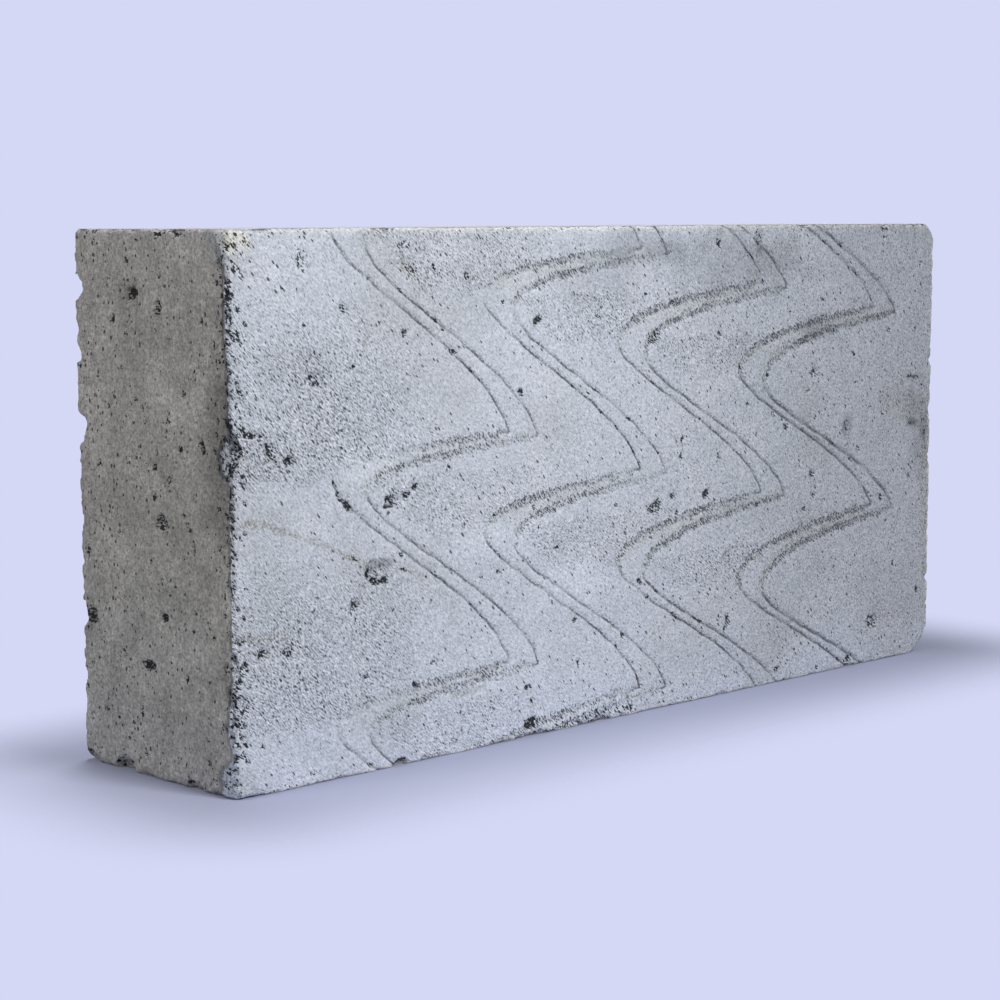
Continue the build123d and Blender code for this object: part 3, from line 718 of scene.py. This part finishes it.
def cellular_concrete(settings):
    """Cellular concrete, cast in a mould and cut with a wire: dry, matt, full of small dark air cells, whose darkness
    is painted shade; painted shade also darkens its trace lines and the right of its front, and a painted highlight
    lightens its top.
    """
    material = bpy.data.materials.new("wire_cut_cellular_concrete")
    material.use_nodes = True
    tree = material.node_tree
    tree.nodes.clear()
    place = add_node(tree, "ShaderNodeTexCoord").outputs["Object"]
    field = {name: add_node(tree, "ShaderNodeAttribute", attribute_name=name).outputs["Fac"]
             for name in ("trace_distance", "return_stroke", "strip", "line_reach", "torn", "hollow", "crumble", "arris", "mould", "pinholes", "stain", "tone_and_painted_shade")}

    # Sand grains of about 1.3 mm and cloudy patches of 20 and 70 mm
    grain = add_node(tree, "ShaderNodeTexNoise", {"Vector": place, "Scale": 1 / (1.3 * MM), "Detail": 2.0,
                                                  "Roughness": 0.7}).outputs["Fac"]
    patch = add_node(tree, "ShaderNodeTexNoise", {"Vector": place, "Scale": 1 / (20 * MM), "Detail": 4.0,
                                                  "Roughness": 0.6}).outputs["Fac"]
    cloud = add_node(tree, "ShaderNodeTexNoise", {"Vector": place, "Scale": 1 / (70 * MM), "Detail": 2.0}).outputs["Fac"]

    # Dashes torn by the wire, about 1.5 mm long and 0.6 mm wide, fall to the right at 48 degrees; the mould's run upright
    slanted = add_node(tree, "ShaderNodeMapping", {"Vector": place, "Rotation": (0.0, math.radians(48), 0.0),
                                                   "Scale": (1.45 * MM, 1.0 * MM, 0.56 * MM)}, vector_type="TEXTURE")
    upright = add_node(tree, "ShaderNodeMapping", {"Vector": place, "Scale": (1.2 * MM, 1.2 * MM, 0.9 * MM)},
                       vector_type="TEXTURE")
    along = add_node(tree, "ShaderNodeMix", {0: field["mould"], 4: slanted.outputs[0], 5: upright.outputs[0]},
                     data_type="VECTOR").outputs[1]
    streak = add_node(tree, "ShaderNodeTexNoise", {"Vector": along, "Scale": 1.0, "Detail": 1.0,
                                                   "Roughness": 0.5}).outputs["Fac"]
    # The strip that a return stroke tears is about 4 mm wide
    gap = add_node(tree, "ShaderNodeMath", {0: field["trace_distance"]}, operation="ABSOLUTE").outputs[0]
    ragged = add_node(tree, "ShaderNodeMapRange", {"Value": streak, "From Min": 0.3, "From Max": 0.7, "To Min": -0.35,
                                                   "To Max": 0.35}).outputs[0]
    ragged_gap = add_node(tree, "ShaderNodeMath", {0: gap, 1: ragged}, operation="ADD").outputs[0]
    near_trace = add_node(tree, "ShaderNodeMapRange", {"Value": ragged_gap, "From Min": 2.7, "From Max": 0.8},
                          interpolation_type="SMOOTHSTEP").outputs[0]
    strip = add_node(tree, "ShaderNodeMath", {0: near_trace, 1: field["strip"]}, operation="MULTIPLY").outputs[0]
    uneven = add_node(tree, "ShaderNodeMapRange", {"Value": patch, "From Min": 0.38, "From Max": 0.56, "To Min": 0.75,
                                                   "To Max": 1.15}).outputs[0]
    strip = add_node(tree, "ShaderNodeMath", {0: strip, 1: uneven}, operation="MULTIPLY").outputs[0]
    level = add_node(tree, "ShaderNodeMath", {0: field["torn"], 1: 0.11, 2: 0.293}, operation="MULTIPLY_ADD").outputs[0]
    level = add_node(tree, "ShaderNodeMath", {0: strip, 1: 0.17, 2: level}, operation="MULTIPLY_ADD").outputs[0]
    level = add_node(tree, "ShaderNodeMath", {0: field["crumble"], 1: 0.06, 2: level}, operation="MULTIPLY_ADD").outputs[0]
    below = add_node(tree, "ShaderNodeMath", {0: level, 1: streak}, operation="SUBTRACT").outputs[0]
    dashes = add_node(tree, "ShaderNodeMapRange", {"Value": below, "From Min": -0.02, "From Max": 0.14}).outputs[0]

    # Black pits of a crumbled place and dark dashes of a torn one, on a spacing of 1 to 2.4 mm; their darkness is
    # painted shade
    pit = add_node(tree, "ShaderNodeTexVoronoi", {"Vector": along, "Scale": 0.6})
    pit_chance = add_node(tree, "ShaderNodeSeparateColor", {"Color": pit.outputs["Color"]}).outputs[0]
    pit_size = add_node(tree, "ShaderNodeMath", {0: field["crumble"], 1: 0.5, 2: -0.36}, operation="MULTIPLY_ADD").outputs[0]
    torn_size = add_node(tree, "ShaderNodeMath", {0: field["torn"], 1: 0.42, 2: -0.36}, operation="MULTIPLY_ADD").outputs[0]
    pit_size = add_node(tree, "ShaderNodeMath", {0: pit_size, 1: torn_size}, operation="MAXIMUM").outputs[0]
    pit_size = add_node(tree, "ShaderNodeMath", {0: pit_chance, 1: 0.5, 2: pit_size}, operation="MULTIPLY_ADD").outputs[0]
    pit_depth = add_node(tree, "ShaderNodeMath", {0: pit_size, 1: pit.outputs["Distance"]}, operation="SUBTRACT").outputs[0]
    pits = add_node(tree, "ShaderNodeMapRange", {"Value": pit_depth, "From Min": -0.02, "From Max": 0.11}).outputs[0]
    pit_tone = add_node(tree, "ShaderNodeMath", {0: field["crumble"], 1: 0.1, 2: 0.9}, operation="MULTIPLY_ADD").outputs[0]
    pits = add_node(tree, "ShaderNodeMath", {0: pits, 1: pit_tone}, operation="MULTIPLY").outputs[0]

    # Air cells, up to 2 mm long and 0.8 mm wide, drawn out the same way, on a spacing of about 4 mm, painted dark as
    # shade in them
    cell = add_node(tree, "ShaderNodeTexVoronoi", {"Vector": along, "Scale": 0.36})
    cell_chance = add_node(tree, "ShaderNodeSeparateColor", {"Color": cell.outputs["Color"]}).outputs[1]
    cell_size = add_node(tree, "ShaderNodeMath", {0: field["mould"], 1: -0.1, 2: -0.55}, operation="MULTIPLY_ADD").outputs[0]
    cell_size = add_node(tree, "ShaderNodeMath", {0: patch, 1: 0.45, 2: cell_size}, operation="MULTIPLY_ADD").outputs[0]
    cell_size = add_node(tree, "ShaderNodeMath", {0: cell_chance, 1: 0.6, 2: cell_size}, operation="MULTIPLY_ADD").outputs[0]
    cell_depth = add_node(tree, "ShaderNodeMath", {0: cell_size, 1: cell.outputs["Distance"]},
                          operation="SUBTRACT").outputs[0]
    cells = add_node(tree, "ShaderNodeMapRange", {"Value": cell_depth, "From Min": 0.0, "From Max": 0.1, "To Max": 0.85}).outputs[0]
    # Pinholes of the mould's faces, up to 1.2 mm wide, on a spacing of about 2 mm, painted dark as shade in them
    tall = add_node(tree, "ShaderNodeMapping", {"Vector": place, "Scale": (1.8 * MM, 1.8 * MM, 2.3 * MM)},
                    vector_type="TEXTURE").outputs[0]
    hole = add_node(tree, "ShaderNodeTexVoronoi", {"Vector": tall, "Scale": 1.0})
    hole_chance = add_node(tree, "ShaderNodeSeparateColor", {"Color": hole.outputs["Color"]}).outputs[2]
    hole_size = add_node(tree, "ShaderNodeMath", {0: hole_chance, 1: 0.8, 2: -0.74}, operation="MULTIPLY_ADD").outputs[0]
    hole_size = add_node(tree, "ShaderNodeMath", {0: patch, 1: 0.36, 2: hole_size}, operation="MULTIPLY_ADD").outputs[0]
    hole_size = add_node(tree, "ShaderNodeMath", {0: streak, 1: -0.25, 2: hole_size}, operation="MULTIPLY_ADD").outputs[0]
    hole_size = add_node(tree, "ShaderNodeMath", {0: field["pinholes"], 1: 0.25, 2: hole_size}, operation="MULTIPLY_ADD").outputs[0]
    hole_depth = add_node(tree, "ShaderNodeMath", {0: hole_size, 1: hole.outputs["Distance"]},
                          operation="SUBTRACT").outputs[0]
    holes = add_node(tree, "ShaderNodeMapRange", {"Value": hole_depth, "From Min": -0.04, "From Max": 0.08}).outputs[0]
    holes = add_node(tree, "ShaderNodeMath", {0: holes, 1: field["mould"]}, operation="MULTIPLY").outputs[0]
    holes = add_node(tree, "ShaderNodeMath", {0: holes, 1: 0.85}, operation="MULTIPLY").outputs[0]
    cells = add_node(tree, "ShaderNodeMath", {0: cells, 1: holes}, operation="MAXIMUM").outputs[0]
    # The painted shade of the air voids has ragged rims
    rim = add_node(tree, "ShaderNodeMapRange", {"Value": streak, "From Min": 0.3, "From Max": 0.7, "To Min": 0.5,
                                                "To Max": -0.5}).outputs[0]
    rim = add_node(tree, "ShaderNodeMath", {0: field["hollow"], 1: rim}, operation="ADD").outputs[0]
    voids = add_node(tree, "ShaderNodeMapRange", {"Value": rim, "From Min": 0.5, "From Max": 0.85}).outputs[0]
    pits = add_node(tree, "ShaderNodeMath", {0: pits, 1: cells}, operation="MAXIMUM").outputs[0]
    pits = add_node(tree, "ShaderNodeMath", {0: pits, 1: voids}, operation="MAXIMUM").outputs[0]

    # The thin dark line of painted shade at the bottom of a cutting stroke, about 0.7 mm wide, broken and paler here
    # and there
    wobble = add_node(tree, "ShaderNodeMapRange", {"Value": grain, "From Min": 0.3, "From Max": 0.7, "To Min": -0.3,
                                                   "To Max": 0.3}).outputs[0]
    line_gap = add_node(tree, "ShaderNodeMath", {0: gap, 1: wobble}, operation="ADD").outputs[0]
    line = add_node(tree, "ShaderNodeMapRange", {"Value": line_gap, "From Min": field["line_reach"], "From Max": 0.1}).outputs[0]
    fade = add_node(tree, "ShaderNodeTexNoise", {"Vector": place, "Scale": 1 / (13 * MM), "Detail": 3.0}).outputs["Fac"]
    fade = add_node(tree, "ShaderNodeMapRange", {"Value": fade, "From Min": 0.38, "From Max": 0.6, "To Min": 0.35,
                                                 "To Max": 0.9}).outputs[0]
    cutting = add_node(tree, "ShaderNodeMath", {0: 1.0, 1: field["return_stroke"]}, operation="SUBTRACT").outputs[0]
    line = add_node(tree, "ShaderNodeMath", {0: line, 1: fade}, operation="MULTIPLY").outputs[0]
    line = add_node(tree, "ShaderNodeMath", {0: line, 1: cutting}, operation="MULTIPLY").outputs[0]

    # Colours: the cut face is a cool grey, the mould's faces a warm one, the arrises are rubbed pale and the top face
    # is painted pale as a painted highlight
    cut = add_node(tree, "ShaderNodeMix", {0: patch, 6: settings.cut_colour, 7: settings.cut_light_colour},
                   data_type="RGBA").outputs[2]
    mould = add_node(tree, "ShaderNodeMix", {0: patch, 6: settings.mould_colour, 7: settings.mould_light_colour},
                     data_type="RGBA").outputs[2]
    colour = add_node(tree, "ShaderNodeMix", {0: field["mould"], 6: cut, 7: mould}, data_type="RGBA").outputs[2]
    warm = add_node(tree, "ShaderNodeMapRange", {"Value": cloud, "From Min": 0.52, "From Max": 0.75, "To Max": 0.3}).outputs[0]
    broken = add_node(tree, "ShaderNodeMapRange", {"Value": streak, "From Min": 0.62, "From Max": 0.4, "To Min": 0.35}).outputs[0]
    stain = add_node(tree, "ShaderNodeMath", {0: field["stain"], 1: broken}, operation="MULTIPLY").outputs[0]
    warm = add_node(tree, "ShaderNodeMath", {0: warm, 1: stain}, operation="MAXIMUM").outputs[0]
    colour = add_node(tree, "ShaderNodeMix", {0: warm, 6: colour, 7: settings.stain_colour}, data_type="RGBA").outputs[2]
    # Worn arrises and the painted highlight of the top face both mix towards the pale cream
    wear_and_highlight_mix = add_node(tree, "ShaderNodeMapRange", {"Value": field["arris"], "From Min": 0.5, "From Max": 1.5}).outputs[0]
    colour = add_node(tree, "ShaderNodeMix", {0: wear_and_highlight_mix, 6: colour, 7: settings.worn_arris_and_highlight_colour}, data_type="RGBA").outputs[2]
    between = add_node(tree, "ShaderNodeMapRange", {"Value": field["trace_distance"], "From Min": -1.5, "From Max": 1.5,
                                                    "To Max": 0.24}).outputs[0]
    olive = add_node(tree, "ShaderNodeMath", {0: field["strip"], 1: between}, operation="MULTIPLY").outputs[0]
    fades = add_node(tree, "ShaderNodeMapRange", {"Value": gap, "From Min": 5.0, "From Max": 2.5}).outputs[0]
    olive = add_node(tree, "ShaderNodeMath", {0: olive, 1: fades}, operation="MULTIPLY").outputs[0]
    colour = add_node(tree, "ShaderNodeMix", {0: olive, 6: colour, 7: settings.strip_colour}, data_type="RGBA").outputs[2]
    # Single grains are lighter or darker, more so on the mould's faces; torn places show light and dark dashes
    grain_span = add_node(tree, "ShaderNodeMath", {0: field["mould"], 1: 1.05, 2: 0.85}, operation="MULTIPLY_ADD").outputs[0]
    grain_off = add_node(tree, "ShaderNodeMath", {0: grain, 1: 0.5}, operation="SUBTRACT").outputs[0]
    speckle = add_node(tree, "ShaderNodeMath", {0: grain_off, 1: grain_span, 2: 1.0}, operation="MULTIPLY_ADD").outputs[0]
    streak_span = add_node(tree, "ShaderNodeMath", {0: field["torn"], 1: 1.6, 2: 0.7}, operation="MULTIPLY_ADD").outputs[0]
    streak_span = add_node(tree, "ShaderNodeMath", {0: field["mould"], 1: -0.42, 2: streak_span}, operation="MULTIPLY_ADD").outputs[0]
    streak_span = add_node(tree, "ShaderNodeMath", {0: strip, 1: 0.7, 2: streak_span}, operation="MULTIPLY_ADD").outputs[0]
    streak_off = add_node(tree, "ShaderNodeMath", {0: streak, 1: 0.5}, operation="SUBTRACT").outputs[0]
    speckle = add_node(tree, "ShaderNodeMath", {0: streak_off, 1: streak_span, 2: speckle}, operation="MULTIPLY_ADD").outputs[0]
    colour = add_node(tree, "ShaderNodeVectorMath", {0: colour, "Scale": speckle}, operation="SCALE").outputs[0]
    # Coarser mottling of about 3 mm shows on the mould's faces
    sand = add_node(tree, "ShaderNodeTexNoise", {"Vector": place, "Scale": 1 / (3 * MM), "Detail": 2.0}).outputs["Fac"]
    sand = add_node(tree, "ShaderNodeMath", {0: sand, 1: 0.5}, operation="SUBTRACT").outputs[0]
    sand_span = add_node(tree, "ShaderNodeMath", {0: field["mould"], 1: 0.75, 2: 0.2}, operation="MULTIPLY_ADD").outputs[0]
    sand = add_node(tree, "ShaderNodeMath", {0: sand, 1: sand_span, 2: 1.0}, operation="MULTIPLY_ADD").outputs[0]
    colour = add_node(tree, "ShaderNodeVectorMath", {0: colour, "Scale": sand}, operation="SCALE").outputs[0]
    # The tone field brings the random patches and the painted shade of the front; the return strips are darker
    shade = add_node(tree, "ShaderNodeMath", {0: strip, 1: -0.16, 2: field["tone_and_painted_shade"]}, operation="MULTIPLY_ADD").outputs[0]
    colour = add_node(tree, "ShaderNodeVectorMath", {0: colour, "Scale": shade}, operation="SCALE").outputs[0]
    # Torn dashes, return strips and trace lines take the dark grey: painted shade in these small hollows and grooves
    dark = add_node(tree, "ShaderNodeMath", {0: strip, 1: 0.3, 2: 0.58}, operation="MULTIPLY_ADD").outputs[0]
    dark = add_node(tree, "ShaderNodeMath", {0: dashes, 1: dark}, operation="MULTIPLY").outputs[0]
    dark = add_node(tree, "ShaderNodeMath", {0: dark, 1: line}, operation="MAXIMUM").outputs[0]
    colour = add_node(tree, "ShaderNodeMix", {0: dark, 6: colour, 7: settings.painted_dash_and_line_shade_colour}, data_type="RGBA").outputs[2]
    # Pits, air cells, pinholes and voids take the near-black colour: painted shade in these holes
    colour = add_node(tree, "ShaderNodeMix", {0: pits, 6: colour, 7: settings.painted_hollow_shade_colour}, data_type="RGBA").outputs[2]

    # Relief in millimetres
    relief = add_node(tree, "ShaderNodeMath", {0: grain, 1: 0.3}, operation="MULTIPLY").outputs[0]
    rough = add_node(tree, "ShaderNodeMath", {0: field["torn"], 1: 1.5, 2: 0.45}, operation="MULTIPLY_ADD").outputs[0]
    rough = add_node(tree, "ShaderNodeMath", {0: field["mould"], 1: -0.25, 2: rough}, operation="MULTIPLY_ADD").outputs[0]
    rough = add_node(tree, "ShaderNodeMath", {0: strip, 1: 0.5, 2: rough}, operation="MULTIPLY_ADD").outputs[0]
    relief = add_node(tree, "ShaderNodeMath", {0: streak, 1: rough, 2: relief}, operation="MULTIPLY_ADD").outputs[0]
    relief = add_node(tree, "ShaderNodeMath", {0: dashes, 1: -0.2, 2: relief}, operation="MULTIPLY_ADD").outputs[0]
    relief = add_node(tree, "ShaderNodeMath", {0: pits, 1: -0.5, 2: relief}, operation="MULTIPLY_ADD").outputs[0]
    relief = add_node(tree, "ShaderNodeMath", {0: line, 1: -0.3, 2: relief}, operation="MULTIPLY_ADD").outputs[0]
    bump = add_node(tree, "ShaderNodeBump", {"Strength": 1.0, "Distance": MM, "Height": relief}).outputs[0]
    shader = add_node(tree, "ShaderNodeBsdfPrincipled", {"Base Color": colour, "Roughness": 0.93, "IOR": 1.5,
                                                         "Specular IOR Level": 0.25, "Normal": bump})
    add_node(tree, "ShaderNodeOutputMaterial", {"Surface": shader.outputs[0]})
    return material


class ConcreteBlockSettings(bpy.types.PropertyGroup):
    """Sizes and colours of the block."""

    arris_radius: bpy.props.FloatProperty(
        name="Arris radius", description="Mean radius of the worn arrises", default=0.0018, unit="LENGTH")
    trace_width: bpy.props.FloatProperty(
        name="Trace width", description="Width of the groove of a cutting stroke", default=0.0019, unit="LENGTH")
    trace_depth: bpy.props.FloatProperty(
        name="Trace depth", description="Depth of the groove of a cutting stroke", default=0.0008, unit="LENGTH")
    trace_pitch: bpy.props.FloatProperty(
        name="Trace pitch", description="Height from one stroke of the wire to the next", default=0.0966, unit="LENGTH")
    pair_spacing: bpy.props.FloatProperty(
        name="Pair spacing", description="Distance between the two traces of a pair", default=0.017, unit="LENGTH")
    cut_colour: bpy.props.FloatVectorProperty(
        name="Cut face", description="Cool grey of the wire-cut face", size=4, subtype="COLOR",
        default=to_linear("#B1BAC5"))
    cut_light_colour: bpy.props.FloatVectorProperty(
        name="Cut face, light", description="Lighter patches of the wire-cut face", size=4, subtype="COLOR",
        default=to_linear("#CBCEDA"))
    mould_colour: bpy.props.FloatVectorProperty(
        name="Mould face", description="Warm grey of the faces cast against the mould", size=4, subtype="COLOR",
        default=to_linear("#868582"))
    mould_light_colour: bpy.props.FloatVectorProperty(
        name="Mould face, light", description="Lighter patches of the moulded faces", size=4, subtype="COLOR",
        default=to_linear("#CCCAC7"))
    # The pale cream serves the worn arrises and the painted highlight of the top face
    worn_arris_and_highlight_colour: bpy.props.FloatVectorProperty(
        name="Worn arris", description="Pale cream of the rubbed arrises", size=4, subtype="COLOR",
        default=to_linear("#D8D6CE"))
    stain_colour: bpy.props.FloatVectorProperty(
        name="Stain", description="Brownish stains of the cut face", size=4, subtype="COLOR",
        default=to_linear("#918F89"))
    strip_colour: bpy.props.FloatVectorProperty(
        name="Return strip", description="Tint between the two return strokes of a pair", size=4, subtype="COLOR",
        default=to_linear("#A9ABA2"))
    # Painted shade in the torn dashes, the return strips and at the bottom of a trace
    painted_dash_and_line_shade_colour: bpy.props.FloatVectorProperty(
        name="Pits", description="Dark grey in the small pits and at the bottom of a trace", size=4, subtype="COLOR",
        default=to_linear("#4A4E54"))
    # Painted shade in the depth of the air voids, pits and pores
    painted_hollow_shade_colour: bpy.props.FloatVectorProperty(
        name="Hollows", description="Near black in the depth of the air voids", size=4, subtype="COLOR",
        default=to_linear("#303336"))


class ConcreteStageSettings(bpy.types.PropertyGroup):
    """Floor, light and lens of the stage."""

    # The floor's colour is darker than the backdrop's: a painted shadow round the block, where the floor shows
    floor_painted_shadow_colour: bpy.props.FloatVectorProperty(
        name="Floor", description="Pale floor under the block", size=4, subtype="COLOR", default=to_linear("#B6BAD3"))
    backdrop_colour: bpy.props.FloatVectorProperty(
        name="Backdrop", description="Pale backdrop that the floor fades into", size=4, subtype="COLOR",
        default=to_linear("#D4D8F5"))
    key_power: bpy.props.FloatProperty(
        name="Key light", description="Power of the soft lamp in front of the block", default=3.7, unit="POWER")
    fill_power: bpy.props.FloatProperty(
        name="Fill light", description="Power of the soft lamp beside the left end", default=2.45, unit="POWER")
    top_power: bpy.props.FloatProperty(
        name="Top light", description="Power of the soft lamp above the block", default=3.0, unit="POWER")
    room_light: bpy.props.FloatProperty(
        name="Room light", description="Strength of the light from all round", default=0.28)
    lens: bpy.props.FloatProperty(
        name="Lens", description="Focal length on a 36 mm sensor", default=83.127, unit="CAMERA")


class CONCRETE_OT_cut_block(bpy.types.Operator):
    """Casts and cuts the block and gives it its finish"""

    bl_idname = "concrete.cut_block"
    bl_label = "Cut the block"

    def execute(self, context):
        settings = context.scene.concrete_block
        shape = BlockShape(settings)
        bm = make_cells(shape)
        fields = shape_block(shape, bm)
        bmesh.ops.recalc_face_normals(bm, faces=bm.faces)
        for face in bm.faces:
            face.smooth = True
        mesh = bpy.data.meshes.new("wire_cut_block")
        bm.to_mesh(mesh)
        bm.free()
        for name, values in fields.items():
            attribute = mesh.attributes.new(name, "FLOAT", "POINT")
            attribute.data.foreach_set("value", values.astype(np.float32))
        mesh.materials.append(cellular_concrete(settings))
        block = bpy.data.objects.new("wire_cut_block", mesh)
        context.scene.collection.objects.link(block)
        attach(block, "root")
        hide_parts(BLOCK_NODE)
        return {"FINISHED"}


# Camera fitted to the corners of the block: place in metres, then azimuth, elevation and roll in degrees
CAMERA_PLACE = (-0.73827, -0.73129, 0.21780)
CAMERA_TURN = (-43.95639, 6.93096, -0.23892)
SENSOR_WIDTH = 36.0
KEY_PLACE = (-0.09, -0.63, 0.42)
KEY_AIM = (-0.03, -0.05, 0.10)
KEY_SIZE = 0.25
FILL_PLACE = (-1.00, 0.05, 0.70)
FILL_AIM = (-0.22, 0.0, 0.10)
FILL_SIZE = 0.4
TOP_PLACE = (0.0, 0.25, 0.95)
TOP_AIM = (0.0, 0.0, 0.215)
TOP_SIZE = 0.3
FLOOR_SIZE = 8.0
FLOOR_FADE = 0.10


class CONCRETE_OT_set_stage(bpy.types.Operator):
    """Lays the floor and sets the light and the camera"""

    bl_idname = "concrete.set_stage"
    bl_label = "Set the stage"

    def execute(self, context):
        settings = context.scene.concrete_stage
        scene = context.scene
        scene.view_settings.view_transform = "Standard"

        # Pale floor, painted darker than the backdrop as a painted shadow round the block, that fades into the
        # backdrop's colour away from the block
        bm = bmesh.new()
        bmesh.ops.create_grid(bm, x_segments=1, y_segments=1, size=FLOOR_SIZE / 2)
        mesh = bpy.data.meshes.new("studio_floor")
        bm.to_mesh(mesh)
        bm.free()
        floor = bpy.data.objects.new("studio_floor", mesh)
        scene.collection.objects.link(floor)
        material = bpy.data.materials.new("matt_studio_paper")
        material.use_nodes = True
        tree = material.node_tree
        tree.nodes.clear()
        place = add_node(tree, "ShaderNodeTexCoord").outputs["Object"]
        side = add_node(tree, "ShaderNodeVectorMath", {0: place}, operation="ABSOLUTE").outputs[0]
        side = add_node(tree, "ShaderNodeVectorMath", {0: side, 1: CAD_HIGH}, operation="SUBTRACT").outputs[0]
        side = add_node(tree, "ShaderNodeVectorMath", {0: side, 1: (0.0, 0.0, 0.0)}, operation="MAXIMUM").outputs[0]
        reach = add_node(tree, "ShaderNodeVectorMath", {0: side}, operation="LENGTH").outputs["Value"]
        away = add_node(tree, "ShaderNodeMapRange", {"Value": reach, "From Min": 0.0, "From Max": FLOOR_FADE},
                        interpolation_type="SMOOTHSTEP").outputs[0]
        paper_with_painted_shadow = add_node(tree, "ShaderNodeBsdfDiffuse", {"Color": settings.floor_painted_shadow_colour}).outputs[0]
        clear = add_node(tree, "ShaderNodeBsdfTransparent").outputs[0]
        surface = add_node(tree, "ShaderNodeMixShader", {0: away, 1: paper_with_painted_shadow, 2: clear}).outputs[0]
        add_node(tree, "ShaderNodeOutputMaterial", {"Surface": surface})
        mesh.materials.append(material)

        # Light from all round, and the backdrop's colour where the camera looks past the floor
        world = bpy.data.worlds.new("studio_room")
        scene.world = world
        world.use_nodes = True
        tree = world.node_tree
        tree.nodes.clear()
        path = add_node(tree, "ShaderNodeLightPath")
        room = add_node(tree, "ShaderNodeBackground", {"Color": to_linear("#FFFFFF"), "Strength": settings.room_light})
        backdrop = add_node(tree, "ShaderNodeBackground", {"Color": settings.backdrop_colour, "Strength": 1.0})
        shown = add_node(tree, "ShaderNodeMath", {0: path.outputs["Is Camera Ray"], 1: path.outputs["Is Glossy Ray"]},
                         operation="MAXIMUM").outputs[0]
        shown = add_node(tree, "ShaderNodeMath", {0: shown, 1: path.outputs["Is Transmission Ray"]},
                         operation="MAXIMUM").outputs[0]
        mixed = add_node(tree, "ShaderNodeMixShader", {0: shown, 1: room.outputs[0], 2: backdrop.outputs[0]})
        add_node(tree, "ShaderNodeOutputWorld", {"Surface": mixed.outputs[0]})

        # Soft lamps in front of the block's cut face, beside its left end and above it
        for name, power, size, stand, aim in (("key_softbox", settings.key_power, KEY_SIZE, KEY_PLACE, KEY_AIM),
                                              ("fill_softbox", settings.fill_power, FILL_SIZE, FILL_PLACE, FILL_AIM),
                                              ("top_softbox", settings.top_power, TOP_SIZE, TOP_PLACE, TOP_AIM)):
            lamp = bpy.data.lights.new(name, "AREA")
            lamp.shape = "DISK"
            lamp.size = size
            lamp.energy = power
            softbox = bpy.data.objects.new(name, lamp)
            softbox.location = stand
            softbox.rotation_euler = (Vector(aim) - Vector(stand)).to_track_quat("-Z", "Y").to_euler()
            scene.collection.objects.link(softbox)

        # Camera
        azimuth, elevation, roll = (math.radians(angle) for angle in CAMERA_TURN)
        back = Vector((math.sin(azimuth) * math.cos(elevation), -math.cos(azimuth) * math.cos(elevation),
                       math.sin(elevation)))
        right = Vector((0, 0, 1)).cross(back).normalized()
        rise = back.cross(right)
        turned_right = right * math.cos(roll) + rise * math.sin(roll)
        turned_rise = rise * math.cos(roll) - right * math.sin(roll)
        lens = bpy.data.cameras.new("photo_camera")
        lens.sensor_width = SENSOR_WIDTH
        lens.lens = settings.lens
        camera = bpy.data.objects.new("photo_camera", lens)
        turn = Matrix((turned_right, turned_rise, back)).transposed().to_4x4()
        camera.matrix_world = Matrix.Translation(CAMERA_PLACE) @ turn
        scene.collection.objects.link(camera)
        scene.camera = camera
        return {"FINISHED"}


class CONCRETE_PT_sidebar(bpy.types.Panel):
    """Lists the block's sizes, colours and steps"""

    bl_idname = "CONCRETE_PT_sidebar"
    bl_label = "Concrete block"
    bl_space_type = "VIEW_3D"
    bl_region_type = "UI"
    bl_category = "Concrete block"

    def draw(self, context):
        for operator, group in ((CONCRETE_OT_cut_block, context.scene.concrete_block),
                                (CONCRETE_OT_set_stage, context.scene.concrete_stage)):
            box = self.layout.box()
            box.operator(operator.bl_idname)
            for name in group.bl_rna.properties.keys():
                if name not in {"rna_type", "name"}:
                    box.prop(group, name)


CLASSES = (ConcreteBlockSettings, ConcreteStageSettings, CONCRETE_OT_cut_block, CONCRETE_OT_set_stage,
           CONCRETE_PT_sidebar)


def register():
    for item in CLASSES:
        bpy.utils.register_class(item)
    bpy.types.Scene.concrete_block = bpy.props.PointerProperty(type=ConcreteBlockSettings)
    bpy.types.Scene.concrete_stage = bpy.props.PointerProperty(type=ConcreteStageSettings)


def unregister():
    del bpy.types.Scene.concrete_stage
    del bpy.types.Scene.concrete_block
    for item in reversed(CLASSES):
        bpy.utils.unregister_class(item)


def main():
    register()
    bpy.ops.concrete.cut_block()
    bpy.ops.concrete.set_stage()


if __name__ == "__main__":
    main()
